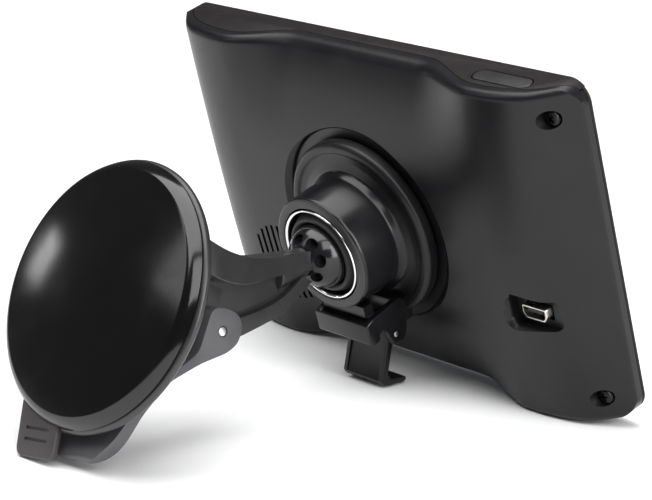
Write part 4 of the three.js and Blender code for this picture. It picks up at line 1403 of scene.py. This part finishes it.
# %% Arm
BALL_UP, BALL_BACK = 28.5, 67.0  # the ball's centre in the cup frame
NECK = (BALL_UP - 3.4, -BALL_BACK + 5.6)
ARM_TOP = [(20.5, -7.5), (19.4, -16), (18.4, -26), (19.2, -36), (21.6, -45.5), (24.6, -53),
           (NECK[0] + 2.6, NECK[1] + 0.4)]
ARM_LOW = [(13.5, -8.5), (12.0, -18), (11.2, -27), (12.6, -37), (16.6, -46.5), (20.4, -55),
           (NECK[0] - 2.2, NECK[1] - 0.6)]
RAIL_TOP = [(4.6, -30), (4.4, -38), (7.4, -45), (13.4, -53.5), (20.6, -59)]
RAIL_LOW = [(-1.6, -33), (-0.4, -39.5), (3.4, -46), (10.8, -55.6), (20.2, -62.4)]
ARM_WIDTH, RAIL_WIDTH, NECK_WIDTH, WEB_HALF = 22.0, 10.0, 7.0, 1.5
DISH_BACK = -8.6
HUB_RADIUS, HUB_BACK = 11.5, -22.0
BOSS_RADIUS, BOSS_HALF, LOCK_BORE = 4.8, 5.0, 1.35


def tapered_slab(upper, lower, width, edge):
    """A curved beam seen from the side, narrowed to the neck's width towards the ball."""
    outline = smooth(upper) + smooth(lower)[::-1]
    wide, narrow = width / 2, NECK_WIDTH / 2
    beam = slab("beam", outline, -wide, wide, "x")
    near, far = -8, -BALL_BACK + 2
    plan = [
        (-wide, near + 12), (-wide, near - 14), (-narrow, far + 9), (-narrow, far - 4),
        (narrow, far - 4), (narrow, far + 9), (wide, near - 14), (wide, near + 12),
    ]
    common(beam, slab("plan", rounded(plan, 5, 8, True), -30, 60, "y"))
    return soften(beam, edge, 4, 40)


def neck_frame():
    """Millimetres with +Z out of the ball along its neck, in the cup frame."""
    away = Vector((0, NECK[0] - BALL_UP, NECK[1] + BALL_BACK)).normalized()
    turn = away.to_track_quat("Z", "Y").to_matrix().to_4x4()
    return Matrix.Translation((0, BALL_UP, -BALL_BACK)) @ turn


def cored_ball():
    """The ball with pockets round its neck, put in its place at the arm's end."""
    ball_profile = [
        (BALL_RADIUS * math.sin(t), -BALL_RADIUS * math.cos(t)) for t in np.linspace(0, math.pi, 49)
    ]
    body = turned("ball", ball_profile, 96)
    pockets = POCKETS.make("pockets", Count=7, Radius=5.4, Width=1.75, Length=1.25)
    carve(body, moved(pockets, at(0, 0, 6.6)))
    neck = turned("neck", rounded([(0, 5), (3.4, 5), (3.7, 10), (4.4, 18.5), (0, 18.5)], 0.4), 48)
    return moved(fuse(body, neck), neck_frame())


def dish():
    """The shallow dish over the rubber, with the hub that houses the stud behind it."""
    profile = [
        (0, -4.2), (29.4, -4.2), (29.6, -2.0), (31.9, -1.5), (32.7, -2.2), (32.6, -3.4),
        (30.2, -5.6), (22, DISH_BACK), (HUB_RADIUS + 2, DISH_BACK - 1.4),
        (HUB_RADIUS, DISH_BACK - 4), (HUB_RADIUS - 1, HUB_BACK), (0, HUB_BACK),
    ]
    return turned("dish", rounded(profile, 0.5, 5), 160)


TAB_X, TAB_ROOT, TAB_REACH = -10.5, -24.5, -39.6
TAB_TOP, TAB_LOW = 7.2, 6.6  # half its width at the root and at the tip
TAB_FRONT, TAB_THICK = -0.5, 1.9
TAB_HINGE = -27.0  # the height about which it leans back
TAB_LEAN = at(0, TAB_HINGE, 0) @ Matrix.Rotation(math.radians(6), 4, "X") @ at(0, -TAB_HINGE, 0)


def tab_blank(grow):
    """The finger tab hangs from under the lip and leans back; the dish is notched for it."""
    top, low, reach = TAB_TOP + grow, TAB_LOW + grow, TAB_REACH - grow
    corners = [(-top, TAB_ROOT), (-low, reach), (low, reach), (top, TAB_ROOT)]
    outline = [(u + TAB_X, v) for u, v in rounded(corners, 2.6, 8, True)]
    return moved(slab("tab", outline, TAB_FRONT - TAB_THICK - grow, TAB_FRONT + grow), TAB_LEAN)


def base_and_arm():
    body = dish()
    flange = tapered_slab(ARM_TOP, ARM_LOW, ARM_WIDTH, 1.0)
    web_outline = [(v + 1.5, w) for v, w in smooth(ARM_LOW) + smooth(RAIL_LOW)[::-1]]
    web = slab("web", web_outline, -WEB_HALF, WEB_HALF, "x")
    rail = tapered_slab(RAIL_TOP, RAIL_LOW, RAIL_WIDTH, 0.7)
    boss_outline = circle(BOSS_RADIUS, 0, -PIN_BACK, 56)
    boss = soften(slab("boss", boss_outline, -BOSS_HALF, BOSS_HALF, "x"), 0.5)
    boss_rib = soften(block((2 * BOSS_HALF, 12, 14), (0, 4, -PIN_BACK + 7)), 0.6)
    fuse(body, flange, web, rail, boss, boss_rib, cored_ball())
    carve(body, slab("stud bore", circle(5.4), HUB_BACK + 3.4, 0))
    carve(body, slab("stud neck", circle(2.6, steps=32), -60, 0))
    carve(body, cross_bore(LOCK_BORE, 0, -PIN_BACK))
    carve(body, tab_blank(GAP))
    finish(
        body, "arm_and_dish", CUP, "suction_mount", ARM_BLACK, "arm_plastic", "base_and_arm"
    )
    body.data.materials.append(BALL_BLACK)
    for face in body.data.polygons:
        if (Vector(face.center) - ball_centre).length < (BALL_RADIUS + 0.2) * MM:
            face.material_index = 1


base_and_arm()

# %% [markdown]
# ## The suction cup
# The rubber cup is the glossiest thing here, so its profile matters more than its material:
# a shallow dome, a rolled lip and a step where it meets the dish. The finger tab below is a
# thicker, duller rubber with grip grooves, which the row recipe cuts.

# %% Cup and tab
LIP_RADIUS = 32.0
FACE_RADIUS, FACE_EDGE, DOME = 29.8, 1.3, 2.4
FLAT_CENTRE = 6.0


def suction_cup():
    """The rubber: a flat back, a rolled lip and a domed face with a flat middle."""
    profile = [
        (0, -3.8), (28.9, -3.8), (29.1, -1.6), (LIP_RADIUS, -1.0), (LIP_RADIUS - 0.4, -0.4),
        (LIP_RADIUS - 1.1, 0.5),
    ]
    for radius in np.linspace(FACE_RADIUS, FLAT_CENTRE, 40):
        profile.append((radius, FACE_EDGE + DOME * (1 - (radius / FACE_RADIUS) ** 2)))
    profile.append((0, profile[-1][1]))
    body = turned("cup", profile, 192)
    carve(body, slab("pocket", circle(4.9), -8, 1.2))
    return finish(
        body, "cup_face", CUP, "suction_mount", RUBBER_GLOSS, "cup_rubber", "suction_cup",
        crease=40,
    )


def finger_tab():
    """The tab, with two grip grooves across its front."""
    body = soften(tab_blank(0.0), 0.5, 4)
    grooves = ROW.make("grooves", Count=2, Pitch=2.6, Across=0.7, Along=8.0, Tall=1.0)
    across = Matrix.Rotation(math.pi / 2, 4, "Z")
    middle = at(TAB_X, TAB_REACH + 5.5, TAB_FRONT + 0.1)
    carve(body, moved(grooves, TAB_LEAN @ middle @ across))
    return finish(body, "cup_finger_tab", CUP, "suction_mount", TAB_RUBBER, "cup_rubber")


suction_cup()
finger_tab()

# %% [markdown]
# ## The stud and its spring
# Inside the hub, a headed stud is moulded into the rubber, and the lock lever's cam pulls it
# back against a coil spring. The stud is a turned profile. The spring is a spiral curve with a
# round wire swept along it, so its turns, radius and wire stay inputs of a recipe.

# %% Stud and spring
def pull_stud():
    profile = [(0, -27.4), (2.2, -27.4), (2.2, -4.6), (4.5, -4.6), (4.5, -1.6), (0, -1.6)]
    body = turned("stud", rounded(profile, 0.3), 64)
    return finish(body, "stud", CUP, "pull_stud", STUD_GREY, "stud_plastic", "pull_stud")


def spring_recipe():
    """A helix with a round wire, from the built-in spiral curve."""
    recipe = Recipe("Coil spring", Turns=4.0, Radius=3.9, Height=12.2, Wire=0.45)
    helix = recipe.node("GeometryNodeCurveSpiral", {
        "Resolution": 40,
        "Rotations": recipe.value("Turns"),
        "Start Radius": recipe.value("Radius"),
        "End Radius": recipe.value("Radius"),
        "Height": recipe.value("Height"),
    })
    wire = recipe.node("GeometryNodeCurvePrimitiveCircle", {"Resolution": 12, "Radius": 1.0})
    size = recipe.vector(recipe.value("Wire"), recipe.value("Wire"), 1.0)
    thick = recipe.node("GeometryNodeTransform", {"Geometry": wire.outputs[0], "Scale": size})
    coil = recipe.node(
        "GeometryNodeCurveToMesh",
        {"Curve": helix.outputs[0], "Profile Curve": thick.outputs[0], "Fill Caps": True},
    )
    return recipe.finish(coil.outputs[0])


def stud_spring():
    body = moved(spring_recipe().make("spring", SPRING_STEEL), at(0, 0, -17.6))
    return finish(
        body, "stud_coil_spring", CUP, "suction_mount", SPRING_STEEL, "spring_steel",
        "stud_spring",
    )


pull_stud()
stud_spring()

# %% [markdown]
# ## The lock lever
# A curved skin follows the back of the dish down to a wide finger tip, and two ears hold its
# pin. Drawing it from the side and again in plan, and keeping what both share, gives a shape
# that is right from both views with very little work.

# %% Lock lever
LEVER_REACH, LEVER_WIDTH = 38.2, 20.0
EAR_HALF, EAR_ROOM = 8.8, 10.8  # half the width over the ears, and the whole width between
LOCK_PIN_RADIUS = 1.1


def lock_lever():
    """The skin's side view is listed from the ears' tops, down the back and up the front."""
    skin = [
        (5.2, -36.0), (2.6, -38.2), (-1.4, -38.0), (-4.4, -35.4), (-9.0, -27.8),
        (-15.4, -19.4), (-24.4, -13.4), (-LEVER_REACH + 2.4, -8.8), (-LEVER_REACH, -6.6),
        (-LEVER_REACH + 0.6, -4.8), (-LEVER_REACH + 3.2, -5.2), (-23.6, -10.9),
        (-17.2, -14.8), (-13.8, -19.4), (-6.6, -26.6), (4.4, -27.4), (5.6, -31.6),
    ]
    half, tip = LEVER_WIDTH / 2, -LEVER_REACH
    body = slab("skin", rounded(skin, 2.2, 6, True), -half, half, "x")
    plan = [
        (-EAR_HALF, 8), (-EAR_HALF, -8), (-half, -24), (-half, tip + 5), (-half + 4, tip),
        (half - 4, tip), (half, tip + 5), (half, -24), (EAR_HALF, -8), (EAR_HALF, 8),
    ]
    common(body, slab("plan", rounded(plan, 3.5, 8, True), -50, 10))
    soften(body, 0.5, 3, 42)
    carve(body, block((EAR_ROOM, 38, 40), (0, 9.5, -30)))
    carve(body, cross_bore(LOCK_BORE, 0, -PIN_BACK))
    return finish(
        body, "lock_lever_skin", CUP, "lock_lever", LOCK_GREY, "lock_lever_plastic",
        "lock_lever",
    )


lock_lever()
cross_pin(
    "lock_pin", LOCK_PIN_RADIUS, EAR_HALF - 0.08, (0, 0, -PIN_BACK), CUP, "suction_mount",
    "lock_lever_pin",
)

# %% [markdown]
# ## Inside the case
# The parts inside show only through the glass, the slits and the clip window, so the
# engineering nodes stay and take better finishes. The display and the speaker are the two that
# can really be seen from outside.

# %% Finishes for the engineering nodes that stay
KEPT = {
    "lcd_panel": PANEL,
    "lcd_backing_tray": PLAIN_STEEL,
    "main_circuit_board": BOARD,
    "processor_shield": PLAIN_STEEL,
    "gps_antenna_patch": CERAMIC,
    "battery_pack": FOIL,
    "speaker_driver": CONE_PAPER,
    "power_switch": SWITCH_GREY,
}
for node, material in KEPT.items():
    mesh = frame["nodes"][node].data
    mesh.materials.clear()
    mesh.materials.append(material)
print("engineering nodes kept:", len(KEPT))
